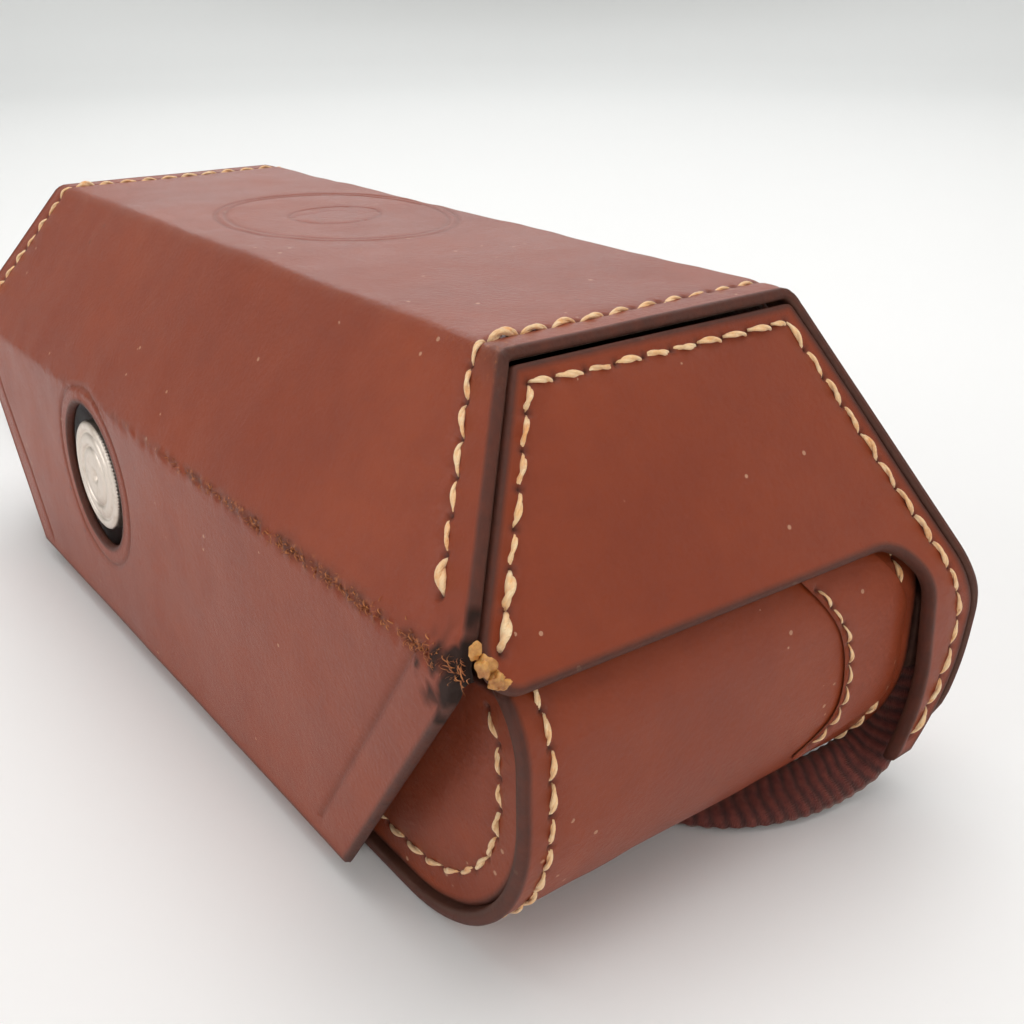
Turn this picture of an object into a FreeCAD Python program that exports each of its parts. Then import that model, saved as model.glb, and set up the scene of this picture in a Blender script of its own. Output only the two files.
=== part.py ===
import FreeCAD, Part
import math
import os

# Brown leather ever-ready case, lying on its back, with a compact 8 mm cine camera inside.
# Millimetres. +X runs along the case towards the end that holds the camera's lens,
# -Y is the side with the tripod screw's knob, +Z points up through the cover.
# The origin is on the table under the middle of the case.

V = FreeCAD.Vector
NODES = {}
FAR = 120.0              # beyond the object's ends, for cutting shapes
WIDE = 60.0              # and beyond its sides

# ---- leather case: driving dimensions ----
LEATHER = 2.0            # thickness of the saddle leather
LINING = 0.8             # thickness of the pile lining
COVER_TOP_Z = 71.1       # height of the cover's flat top
COVER_TOP_X = 73.4       # half length of the flat top
COVER_TOP_Y = 22.8       # half width of the flat top
CREASE_Y = -40.0         # worn crease where the cover bends into the flap
CREASE_Z = 44.8
CREASE_X = 90.0          # half length of the crease
WIDEST_Y = 40.35         # cover's widest corner, on the snap side
WIDEST_Z = 30.5
WIDEST_R = 9.0
SKIRT_Y = 36.8           # free lower edge of the cover's snap-side wall
SKIRT_Z = 8.0
FOLD_R = 2.5             # outer radius of the leather's sharp folds
END_SLOPE = 0.631        # how far the cover's ends lean out per millimetre down
EAR_X = 95.6             # half length over the cover's ears
EAR_TOP_Z = 32.0
PANEL_INSET = 0.9        # end panels sit this far inside the wrap's cut edge
PANEL_LOW_Z = 41.5       # lower edge of the end panels
SLOT_TOP_Y = 28.8        # edge of the ear beside the strap slot, at its top and foot
SLOT_FOOT_Y = 31.8
SLOT_R = 8.0
SKIVED_CORNER_W = 3.7    # the end panel's corner is cut away beside the crease
LINING_EDGE = 3.0        # the cover's lining stops this far short of the crease
LINING_HEM = 6.0         # and this far above the skirt's lower edge

BAND_X = 92.0            # half length over the case back's band
BAND_Y0 = -34.0
BAND_Y1 = 31.0
BAND_LIP_X = 80.5        # leaned-in upper edge of the band, under the cover
BAND_LIP_Z = 47.5
BAND_SHOULDER_Z = 37.0
BAND_SHOULDER_R = 12.0
BAND_FOOT_R = 25.0
SIDE_INSET = 1.0         # lower side panel sits inside the band's cut edge
HOLLOW_RISE = 4.2        # the back is moulded hollow so that it rests on its two long edges
HOLLOW_HALF = 26.5
HOLLOW_Y = -1.5
INNER_GAP = 0.5          # air between the case back and the cover's lining

FLAP_LOW_Z = 4.0
FLAP_LOW_X = 61.7        # half length of the flap at its lower edge
FOLD_GAP_R = 1.4         # leather is thinned away round each folding line
FOLD_ROLL_R = 1.0
LOWER_FOLD_Z = 3.4
HINGE_STRIP_X = 56.0
HINGE_STRIP_T = 1.9
FLAP_CLEAR = 0.4         # the flap stops short of the lower fold's middle by this
FLAP_TOP_CLEAR = 1.2     # and of the crease by this

KEEPER_T = 1.2           # strap keepers sewn to the band's ends
KEEPER_Y0 = 9.0
KEEPER_CURVE_R = 16.8    # their edge is cut to an arc round (KEEPER_CURVE_Y, KEEPER_CURVE_Z)
KEEPER_CURVE_Y = 0.6
KEEPER_CURVE_Z = 26.0
KEEPER_LOW_Z = 11.6
KEEPER_HIGH_Z = 39.4
TAB_Z1 = 33.0
TAB_IN = 5.0             # each tab reaches this far in from the strap's middle
TAB_OUT = 3.8
RIVET_R = 2.4
RIVET_H = 0.8
RIVET_Z = 28.0

SNAP_Z = 15.0            # press-stud
SNAP_CAP_R = 5.0
SNAP_CAP_T = 0.6
SNAP_DOME_R = 4.0
SNAP_DOME_T = 0.5
STUD_BASE_R = 4.5
STUD_BASE_T = 0.8
STUD_R = 2.0
STUD_H = 3.0

KNOB_X = -21.0
KNOB_Z = 30.5
KNOB_R = 9.5             # 19 mm (3/4 inch) knob
KNOB_Y0 = -39.8
KNOB_Y1 = -33.8
KNURLS = 72
KNURL_DEPTH = 0.3
FLAP_HOLE_R = 12.5
SCREW_R = 3.175          # 1/4 inch tripod thread
SCREW_TIP_Y = -24.0
SCREW_CLEAR = 0.25       # room round the screw in the leather
WASHER_R = 6.0
WASHER_GAP = 0.05
KNOB_GROOVES = (7.6, 5.2)
GROOVE_HALF = 0.3
GROOVE_DEPTH = 0.35
DIMPLE_R = 1.3
DIMPLE_DEPTH = 0.9

# ---- camera: driving dimensions ----
CAM_X = 62.0             # half length of the camera body
CAM_Y0 = -30.0
CAM_Y1 = 28.0
CAM_Z0 = 9.5
CAM_Z1 = 47.5
CAM_R = 14.0
WALL = 1.5
PLATE_Z0 = 30.0          # the mechanism plate parts the film chamber from the clockwork
PLATE_Z1 = 31.5
RUN = 0.06               # radial running clearance of shafts in holes
AXIS_Z = 20.5            # optical axis height, on y = 0
LENS_R = 7.0
LENS_BORE_R = 5.5
SPOOL_Y = -1.0
SUPPLY_X = -35.0
TAKEUP_X = 15.0
SPOOL_R = 24.0
SPOOL_Z0 = 12.2
SPOOL_Z1 = 28.8
SPINDLE_R = 3.0
MODULE_ONE = 1.0         # barrel and idler pinion
MODULE_TWO = 0.8         # idler wheel and governor pinion
BARREL_TEETH = 40
IDLER_PINION_TEETH = 10
IDLER_WHEEL_TEETH = 40
GOVERNOR_TEETH = 10
BARREL_Z = 33.0
GEAR_T = 3.0
WHEEL_Z = 41.5
WHEEL_T = 2.0
ARBOR_R = 1.5
PIN_R = 1.0              # pins of the footage dial and the shutter
KEY_Z = 47.6
BUSH_R = 5.0             # tripod bush inside the camera
WINDOW_R = 2.6           # footage window
BUTTON_R = 3.0
BUTTON_FLANGE_R = 4.0
SPEED_SHAFT_R = 1.5
SPEED_DIAL_R = 6.5
LATCH_R = 5.0
LATCH_SHAFT_R = 2.0
BODY_SCREW_R = 1.8
FINDER_WALL = 1.0
LENS_FRONT_X = 83.0
LENS_FLANGE_R = 9.5
LENS_FLANGE_T = 2.0
LENS_RIM_R = 7.9
LENS_RIM_T = 3.0
RING_RIB = 0.35          # depth of the lens rings' ribs
DRUM_R = 18.6            # mainspring barrel's drum
DRUM_BORE_R = 17.4
DRUM_TOP_Z = 40.5
SPRING_T = 0.6
FLYWHEEL_R = 8.5
WEIGHT_R = 2.2
WEIGHT_AT = 5.8
ARBOR_TOP_Z = 45.5
FOOTAGE_R = 8.0
RATCHET_R = 7.0
RATCHET_ROOT_R = 5.6
RATCHET_TEETH = 12
KEY_HUB_R = 6.0
KEY_HUB_T = 2.4
KEY_PIN_R = 0.8
KEY_PIN_HALF = 5.3
KEY_PIVOT_RISE = 4.4
KEY_EAR_AT = 4.6
KEY_EAR_T = 1.4
KEY_BARREL_R = 1.4
SPRING_WIRE_R = 0.35     # release button's return spring
SPRING_COIL_R = 2.5
SPRING_PITCH = 1.8
SPOOL_HUB_R = 5.0
FLANGE_T = 0.9
FILM_CLEAR = 0.2         # film roll to spool flange
SUPPLY_ROLL_R = 20.0
TAKEUP_ROLL_R = 10.0
GATE_X = 54.0
GATE_T = 1.4
APERTURE_Y = 2.45        # half width and height of the 8 mm gate's aperture
APERTURE_Z = 1.8
SHUTTER_R = 8.8
SHUTTER_X = 57.4
SHUTTER_T = 0.6
SHUTTER_HUB_R = 2.0
CLAW_X = 55.7
CLAW_T = 0.7

# ---- neck strap ----
STRAP_T = 3.0            # woven strap, 8 mm wide and 3 mm thick, as a plain round tube here
STRAP_W = 8.0
COIL_X = -149.0
COIL_Y = 29.0
COIL_R = 44.0
COIL_HALF = 6.0
STRAP_X = 88.4           # where the strap's ends leave their tabs
STRAP_Y = 33.2
STRAP_EXIT_Z = 21.0


def unit(a, b):
    """Unit vector from one (a, b, radius) corner to the next."""
    return V(b[0] - a[0], b[1] - a[1], 0).normalize()


def corner_arc(before, here, after):
    """Start, middle and end of the rounding at a corner."""
    point = V(here[0], here[1], 0)
    back = unit(here, before)
    ahead = unit(here, after)
    half = back.getAngle(ahead) / 2
    if here[2] <= 0:
        return point, point, point
    middle = (back + ahead).normalize()
    reach = here[2] / math.tan(half)
    centre = point + middle * (here[2] / math.sin(half))
    return point + back * reach, centre - middle * here[2], point + ahead * reach


def closed_wire(corners, place):
    """Closed wire round (a, b, radius) corners; place turns a flat point into a real one."""
    count = len(corners)
    arcs = [corner_arc(corners[i - 1], corners[i], corners[(i + 1) % count]) for i in range(count)]
    edges = []
    for i, (start, middle, end) in enumerate(arcs):
        last = arcs[i - 1][2]
        if last.distanceToPoint(start) > 1e-6:
            edges.append(Part.makeLine(place(last), place(start)))
        if start.distanceToPoint(end) > 1e-6:
            edges.append(Part.Arc(place(start), place(middle), place(end)).toShape())
    return Part.Wire(edges)


def prism_x(corners, x0, x1):
    """Solid of (y, z, radius) corners between two x planes."""
    return Part.Face(closed_wire(corners, lambda p: V(x0, p.x, p.y))).extrude(V(x1 - x0, 0, 0))


def prism_y(corners, y0, y1):
    """Solid of (x, z, radius) corners between two y planes."""
    return Part.Face(closed_wire(corners, lambda p: V(p.x, y0, p.y))).extrude(V(0, y1 - y0, 0))


def prism_z(corners, z0, z1):
    """Solid of (x, y, radius) corners between two z planes."""
    return Part.Face(closed_wire(corners, lambda p: V(p.x, p.y, z0))).extrude(V(0, 0, z1 - z0))


def block(x0, x1, y0, y1, z0, z1):
    return Part.makeBox(x1 - x0, y1 - y0, z1 - z0, V(x0, y0, z0))


def rod_x(r, x0, x1, y, z):
    return Part.makeCylinder(r, x1 - x0, V(x0, y, z), V(1, 0, 0))


def rod_y(r, y0, y1, x, z):
    return Part.makeCylinder(r, y1 - y0, V(x, y0, z), V(0, 1, 0))


def rod_z(r, z0, z1, x, y):
    return Part.makeCylinder(r, z1 - z0, V(x, y, z0), V(0, 0, 1))


def offset_path(path, depth):
    """Open path of (a, b, radius) corners, moved to its right-hand side, which is its inside."""
    moved = []
    for i, (a, b, r) in enumerate(path):
        normals = []
        if i > 0:
            d = unit(path[i - 1], path[i])
            normals.append(V(d.y, -d.x, 0))
        if i < len(path) - 1:
            d = unit(path[i], path[i + 1])
            normals.append(V(d.y, -d.x, 0))
        shift = normals[0] * depth
        if len(normals) == 2:
            shift = (normals[0] + normals[1]) * (depth / (1 + normals[0].dot(normals[1])))
        moved.append((a + shift.x, b + shift.y, max(r - depth, 0)))
    return moved


def sheet(path, outer, inner):
    """Closed outline of the layer of a bent sheet between two depths under its outer face."""
    return offset_path(path, outer) + offset_path(path, inner)[::-1]


def mirrored(path):
    return [(-a, b, r) for a, b, r in path][::-1]


def add(name, shape):
    """Keep a node's shape, checked to be closed and real."""
    if not shape.isValid() or shape.Volume < 0.5:
        print("BAD", name, shape.isValid(), round(shape.Volume, 3))
    NODES[name] = shape


# ---- outlines that several leather pieces share ----
COVER_PATH = [
    (CREASE_Y, CREASE_Z, 0),
    (-COVER_TOP_Y, COVER_TOP_Z, FOLD_R),
    (COVER_TOP_Y, COVER_TOP_Z, FOLD_R),
    (WIDEST_Y, WIDEST_Z, WIDEST_R),
    (SKIRT_Y, SKIRT_Z, 0),
]
END_TOP_Z = 76.0
END_PATH = [
    (COVER_TOP_X - END_SLOPE * (END_TOP_Z - COVER_TOP_Z), END_TOP_Z, 0),
    (EAR_X, COVER_TOP_Z - (EAR_X - COVER_TOP_X) / END_SLOPE, 12.0),
    (EAR_X, -4.0, 0),
]
BAND_PATH = [
    (BAND_LIP_X, BAND_LIP_Z, 0),
    (BAND_X, BAND_SHOULDER_Z, BAND_SHOULDER_R),
    (BAND_X, 0.0, BAND_FOOT_R),
    (-BAND_X, 0.0, BAND_FOOT_R),
    (-BAND_X, BAND_SHOULDER_Z, BAND_SHOULDER_R),
    (-BAND_LIP_X, BAND_LIP_Z, 0),
]
CREASE_AXIS = (CREASE_Y + LEATHER / 2, CREASE_Z - LEATHER / 4)
LOWER_AXIS = (CREASE_Y + LEATHER / 2, LOWER_FOLD_Z)


def cover_room(depth):
    """The space under the cover, a given depth inside its outer face."""
    path = offset_path(COVER_PATH, depth)
    return prism_x(path + [(CREASE_Y + 4, SKIRT_Z, 0)], -FAR, FAR)


def end_room(depth):
    """The space between the cover's two leaning ends."""
    path = offset_path(END_PATH, depth)
    return prism_y(path + mirrored(path), -WIDE, WIDE)


def hollow(lift):
    """The moulded hollow under the back, lifted by a distance."""
    left = HOLLOW_Y - HOLLOW_HALF
    right = HOLLOW_Y + HOLLOW_HALF
    arc = Part.Arc(V(-FAR, left, lift), V(-FAR, HOLLOW_Y, lift + HOLLOW_RISE), V(-FAR, right, lift))
    floor = [V(-FAR, right, lift), V(-FAR, right, -6), V(-FAR, left, -6), V(-FAR, left, lift)]
    edges = [arc.toShape()] + [Part.makeLine(floor[i], floor[i + 1]) for i in range(3)]
    return Part.Face(Part.Wire(edges)).extrude(V(2 * FAR, 0, 0))


def band_room(depth):
    """Everything inside the band, a given depth under its outer face."""
    return prism_y(offset_path(BAND_PATH, depth), -WIDE, WIDE).cut(hollow(depth))


def flap_half(z):
    """Half length of the flap at a height: its ends slant in towards the table."""
    return FLAP_LOW_X + (z - FLAP_LOW_Z) * (CREASE_X - FLAP_LOW_X) / (CREASE_Z - FLAP_LOW_Z)


def make_cover():
    folds = rod_x(FOLD_GAP_R, -FAR, FAR, *CREASE_AXIS)
    wrap = prism_x(sheet(COVER_PATH, 0, LEATHER), -FAR, FAR)
    add("cover_wrap", wrap.common(end_room(0)).cut(folds))
    inside = cover_room(LEATHER)
    opening = [
        (-WIDE, PANEL_LOW_Z, 0),
        (SLOT_TOP_Y, PANEL_LOW_Z, SLOT_R),
        (SLOT_FOOT_Y, -10, 0),
        (-WIDE, -10, 0),
    ]
    mouth = prism_x(opening, -FAR, FAR)
    corner = block(-FAR, FAR, -WIDE, CREASE_Y + SKIVED_CORNER_W, 30, CREASE_Z - 0.8)
    for side, name in ((1, "near"), (-1, "far")):
        outline = sheet(END_PATH, PANEL_INSET, PANEL_INSET + LEATHER)
        if side < 0:
            outline = mirrored(outline)
        panel = prism_y(outline, -WIDE, WIDE).common(inside).cut(mouth).cut(corner).cut(folds)
        add("cover_end_panel_" + name, panel)
    lining = prism_x(sheet(COVER_PATH, LEATHER, LEATHER + LINING), -FAR, FAR)
    lining = lining.common(end_room(PANEL_INSET + LEATHER + 0.3))
    lining = lining.common(block(-FAR, FAR, CREASE_Y + LINING_EDGE, WIDE, SKIRT_Z + LINING_HEM, 80))
    add("cover_lining", lining)


def make_flap():
    low = LOWER_FOLD_Z + FLAP_CLEAR
    top = CREASE_Z - FLAP_TOP_CLEAR
    outline = [
        (-flap_half(low), low, 0),
        (flap_half(low), low, 0),
        (flap_half(top), top, 0),
        (-flap_half(top), top, 0),
    ]
    flap = prism_y(outline, CREASE_Y, CREASE_Y + LEATHER)
    flap = flap.cut(rod_y(FLAP_HOLE_R, -WIDE, 0, KNOB_X, KNOB_Z))
    for axis in (CREASE_AXIS, LOWER_AXIS):
        flap = flap.cut(rod_x(FOLD_GAP_R, -FAR, FAR, *axis))
    add("cover_flap", flap)
    crease = rod_x(FOLD_ROLL_R, -CREASE_X + 1, CREASE_X - 1, *CREASE_AXIS)
    lower = rod_x(FOLD_ROLL_R, -HINGE_STRIP_X, HINGE_STRIP_X, *LOWER_AXIS)
    add("leather_folds", Part.makeCompound([crease, lower]))
    strip = block(-HINGE_STRIP_X, HINGE_STRIP_X, CREASE_Y, BAND_Y0, 0, HINGE_STRIP_T)
    add("hinge_strip", strip)


def make_case_back():
    under_cover = cover_room(LEATHER + LINING + INNER_GAP).fuse(block(-FAR, FAR, -WIDE, WIDE, -10, 30))
    band = prism_y(sheet(BAND_PATH, 0, LEATHER), BAND_Y0, BAND_Y1)
    arch = hollow(LEATHER).common(block(-BAND_X, BAND_X, BAND_Y0, BAND_Y1, 0, 20))
    arch = arch.common(prism_y(BAND_PATH, BAND_Y0, BAND_Y1))
    band = band.fuse(arch).cut(hollow(0)).common(under_cover).removeSplitter()
    add("case_band", band)
    room = band_room(LEATHER).common(under_cover)
    lower_y = BAND_Y0 + SIDE_INSET
    lower = room.common(block(-FAR, FAR, lower_y, lower_y + LEATHER, 0, 60))
    lower = lower.cut(rod_y(SCREW_R + SCREW_CLEAR, -WIDE, 0, KNOB_X, KNOB_Z))
    add("case_side_panel_lower", lower)
    upper = room.common(block(-FAR, FAR, BAND_Y1 - LEATHER, BAND_Y1, 0, 60))
    add("case_side_panel_upper", upper)
    lined = room.cut(band_room(LEATHER + LINING))
    lined = lined.common(block(-FAR, FAR, lower_y + LEATHER, BAND_Y1 - LEATHER, 0, 44))
    add("case_lining", lined)
    washer = rod_y(WASHER_R, KNOB_Y1 + WASHER_GAP, lower_y, KNOB_X, KNOB_Z)
    add("screw_washer", washer.cut(rod_y(SCREW_R + SCREW_CLEAR, -WIDE, 0, KNOB_X, KNOB_Z)))


def make_strap_fittings():
    """Sewn keepers on the band's ends, and the tabs that the strap's ends are riveted to."""
    patch = prism_y(sheet(BAND_PATH, -KEEPER_T, 0), KEEPER_Y0, BAND_Y1 - 0.8)
    free_y = SLOT_TOP_Y - 1.4
    frame = [
        (-WIDE, KEEPER_LOW_Z, 0),
        (-WIDE, KEEPER_HIGH_Z, 0),
        (free_y, KEEPER_HIGH_Z, SLOT_R),
        (free_y + 0.4, 18.2, 3),
        (KEEPER_Y0, KEEPER_LOW_Z, 0),
    ]
    patch = patch.common(prism_x(frame, 60, FAR))
    patch = patch.cut(rod_x(KEEPER_CURVE_R, 60, FAR, KEEPER_CURVE_Y, KEEPER_CURVE_Z))
    add("strap_keeper_near", patch)
    add("strap_keeper_far", patch.mirror(V(0, 0, 0), V(1, 0, 0)))
    tabs = []
    rivets = []
    for side in (1, -1):
        face_y = STRAP_Y + STRAP_T / 2
        tab = block(STRAP_X - TAB_IN, STRAP_X + TAB_OUT, BAND_Y1, face_y, STRAP_EXIT_Z, TAB_Z1)
        rivet = rod_y(RIVET_R, face_y, face_y + RIVET_H, STRAP_X - 1, RIVET_Z)
        if side < 0:
            tab = tab.mirror(V(0, 0, 0), V(1, 0, 0))
            rivet = rivet.mirror(V(0, 0, 0), V(1, 0, 0))
        tabs.append(tab)
        rivets.append(rivet)
    add("strap_tabs", Part.makeCompound(tabs))
    add("strap_rivets", Part.makeCompound(rivets))


def make_snap():
    """Press-stud: cap outside the cover's skirt, stud on the case back."""
    lean = math.atan2(WIDEST_Y - SKIRT_Y, WIDEST_Z - SKIRT_Z)
    normal = V(0, math.cos(lean), -math.sin(lean))
    wall_y = SKIRT_Y + (SNAP_Z - SKIRT_Z) * math.tan(lean)
    cap = Part.makeCylinder(SNAP_CAP_R, SNAP_CAP_T, V(0, wall_y, SNAP_Z), normal)
    dome_foot = V(0, wall_y, SNAP_Z) + normal * SNAP_CAP_T
    dome = Part.makeCylinder(SNAP_DOME_R, SNAP_DOME_T, dome_foot, normal)
    add("snap_cap", cap.fuse(dome))
    stud = rod_y(STUD_BASE_R, BAND_Y1, BAND_Y1 + STUD_BASE_T, 0, SNAP_Z)
    stud = stud.fuse(rod_y(STUD_R, BAND_Y1 + STUD_BASE_T, BAND_Y1 + STUD_H, 0, SNAP_Z))
    add("snap_stud", stud)


def make_tripod_knob():
    """Coin-shaped knob with a knurled rim, two turned grooves and a centre dimple."""
    rim = []
    for i in range(2 * KNURLS):
        angle = math.pi * i / KNURLS
        r = KNOB_R - KNURL_DEPTH * (i % 2)
        rim.append((KNOB_X + r * math.cos(angle), KNOB_Z + r * math.sin(angle), 0))
    knob = prism_y(rim, KNOB_Y0, KNOB_Y1)
    floor_y = KNOB_Y0 + GROOVE_DEPTH
    for r in KNOB_GROOVES:
        ring = rod_y(r + GROOVE_HALF, KNOB_Y0 - 1, floor_y, KNOB_X, KNOB_Z)
        knob = knob.cut(ring.cut(rod_y(r - GROOVE_HALF, KNOB_Y0 - 1, floor_y, KNOB_X, KNOB_Z)))
    dimple = Part.makeCone(DIMPLE_R, 0.2, DIMPLE_DEPTH, V(KNOB_X, KNOB_Y0, KNOB_Z), V(0, 1, 0))
    knob = knob.cut(dimple)
    add("tripod_knob", knob)
    add("tripod_screw", rod_y(SCREW_R, KNOB_Y1, SCREW_TIP_Y, KNOB_X, KNOB_Z))


def body_outline(inset):
    r = CAM_R - inset
    x = CAM_X - inset
    y0 = CAM_Y0 + inset
    y1 = CAM_Y1 - inset
    return [(-x, y0, r), (x, y0, r), (x, y1, r), (-x, y1, r)]


DOOR_Z = CAM_Z0 + WALL
FINDER = (-10.0, 58.0, 11.0, 21.0, CAM_Z1, CAM_Z1 + 10.0)
DIAL_SPOT = (48.0, -14.0)
BUTTON_SPOT = (50.0, 2.0)
FOOTAGE_SPOT = (-10.0, -17.0)
WINDOW_SPOT = (-10.0, -22.0)
LATCH_SPOT = (30.0, 12.0)
SHUTTER_Y = -6.5
IDLER_X = SUPPLY_X + MODULE_ONE * (BARREL_TEETH + IDLER_PINION_TEETH) / 2
GOVERNOR_X = IDLER_X + MODULE_TWO * (IDLER_WHEEL_TEETH + GOVERNOR_TEETH) / 2


def make_camera_body():
    shell = prism_z(body_outline(0), DOOR_Z, CAM_Z1)
    shell = shell.cut(prism_z(body_outline(WALL), DOOR_Z, CAM_Z1 - WALL))
    shell = shell.cut(rod_x(LENS_R, 50, 70, 0, AXIS_Z))
    shell = shell.cut(rod_y(BUSH_R, -40, -25, KNOB_X, KNOB_Z))
    shell = shell.cut(rod_z(SPINDLE_R + RUN, 40, 50, SUPPLY_X, SPOOL_Y))
    shell = shell.cut(rod_z(SPEED_SHAFT_R + RUN, 40, 50, *DIAL_SPOT))
    shell = shell.cut(rod_z(BUTTON_R + RUN, 40, 50, *BUTTON_SPOT))
    shell = shell.cut(rod_z(WINDOW_R, 40, 50, *WINDOW_SPOT))
    add("camera_shell", shell)
    door = prism_z(body_outline(0), CAM_Z0, DOOR_Z).cut(rod_z(LATCH_SHAFT_R + RUN, 0, 20, *LATCH_SPOT))
    add("film_door", door)
    latch = rod_z(LATCH_R, CAM_Z0 - 1.4, CAM_Z0 - 0.05, *LATCH_SPOT)
    latch = latch.fuse(rod_z(LATCH_SHAFT_R, CAM_Z0 - 0.05, DOOR_Z + 0.8, *LATCH_SPOT))
    x, y = LATCH_SPOT
    coin_slot = block(x - LATCH_R, x + LATCH_R, y - 0.5, y + 0.5, CAM_Z0 - 2, CAM_Z0 - 0.8)
    add("door_latch", latch.cut(coin_slot))
    plate = prism_z(body_outline(WALL), PLATE_Z0, PLATE_Z1)
    add("mechanism_plate", plate.cut(rod_y(BUSH_R, -40, SCREW_TIP_Y + 0.5, KNOB_X, KNOB_Z)))
    bush = rod_y(BUSH_R, CAM_Y0, SCREW_TIP_Y - 0.5, KNOB_X, KNOB_Z)
    bush = bush.cut(rod_y(SCREW_R + RUN, -40, 0, KNOB_X, KNOB_Z))
    add("tripod_bush", bush)
    add("footage_window", rod_z(WINDOW_R, CAM_Z1 - WALL, CAM_Z1, *WINDOW_SPOT))
    plate = prism_z([(0, -25, 1.5), (36, -25, 1.5), (36, -9, 1.5), (0, -9, 1.5)], CAM_Z1, CAM_Z1 + 0.6)
    add("exposure_plate", plate)
    screws = []
    for x, y in ((-50, 20), (50, 23.4), (-50, -22), (4, 6)):
        head = rod_z(BODY_SCREW_R, CAM_Z1, CAM_Z1 + 0.7, x, y)
        screws.append(head.cut(block(x - 2, x + 2, y - 0.25, y + 0.25, CAM_Z1 + 0.35, CAM_Z1 + 1)))
    add("body_screws", Part.makeCompound(screws))


def make_finder():
    x0, x1, y0, y1, z0, z1 = FINDER
    tube = prism_x([(y0, z0, 0), (y1, z0, 0), (y1, z1, 2), (y0, z1, 2)], x0, x1)
    y0, y1, z0, z1 = y0 + FINDER_WALL, y1 - FINDER_WALL, z0 + FINDER_WALL, z1 - FINDER_WALL
    tube = tube.cut(block(x0 - 1, x1 + 1, y0, y1, z0, z1))
    add("viewfinder_tube", tube)
    front = block(x1 - 3, x1 - 1, y0, y1, z0, z1)
    rear = block(x0 + 1, x0 + 2.5, y0, y1, z0, z1)
    add("finder_lenses", Part.makeCompound([front, rear]))


def make_lens():
    barrel = rod_x(LENS_R, CAM_X - WALL, LENS_FRONT_X, 0, AXIS_Z)
    barrel = barrel.fuse(rod_x(LENS_FLANGE_R, CAM_X, CAM_X + LENS_FLANGE_T, 0, AXIS_Z))
    barrel = barrel.fuse(rod_x(LENS_RIM_R, LENS_FRONT_X - LENS_RIM_T, LENS_FRONT_X, 0, AXIS_Z))
    barrel = barrel.cut(rod_x(LENS_BORE_R, 50, 90, 0, AXIS_Z)).removeSplitter()
    add("lens_barrel", barrel)
    for name, x0, x1, bulge in (("front_element", 77.5, 81.5, 12.0), ("rear_element", 63.0, 66.0, 14.0)):
        blank = rod_x(LENS_BORE_R, x0, x1, 0, AXIS_Z)
        add(name, blank.common(Part.makeSphere(bulge, V(x1 - bulge, 0, AXIS_Z))))
    rings = (("focus_ring", 66.0, 72.5, 8.6, 36), ("aperture_ring", 74.0, 78.0, 8.3, 24))
    for name, x0, x1, r, ribs in rings:
        rim = []
        for i in range(2 * ribs):
            angle = math.pi * i / ribs
            reach = r - RING_RIB * (i % 2)
            rim.append((reach * math.cos(angle), AXIS_Z + reach * math.sin(angle), 0))
        ring = prism_x(rim, x0, x1)
        add(name, ring.cut(rod_x(LENS_R + RUN, 50, 90, 0, AXIS_Z)))


def gear(module, teeth, turn):
    """Corners of a spur gear with radial roots, narrowed teeth and room at the tips."""
    pitch_r = module * teeth / 2
    root_r = pitch_r - 1.25 * module
    tip_r = pitch_r + 0.85 * module
    half_pitch = 0.205 * 2 * math.pi / teeth
    half_tip = half_pitch - 0.34 * module * 0.85 / pitch_r
    corners = []
    for i in range(teeth):
        middle = turn + 2 * math.pi * i / teeth
        steps = ((root_r, -half_pitch), (pitch_r, -half_pitch), (tip_r, -half_tip),
                 (tip_r, half_tip), (pitch_r, half_pitch), (root_r, half_pitch))
        corners += [(r * math.cos(middle + a), r * math.sin(middle + a), 0) for r, a in steps]
    return corners


def placed(corners, x, y):
    return [(a + x, b + y, r) for a, b, r in corners]


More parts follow.
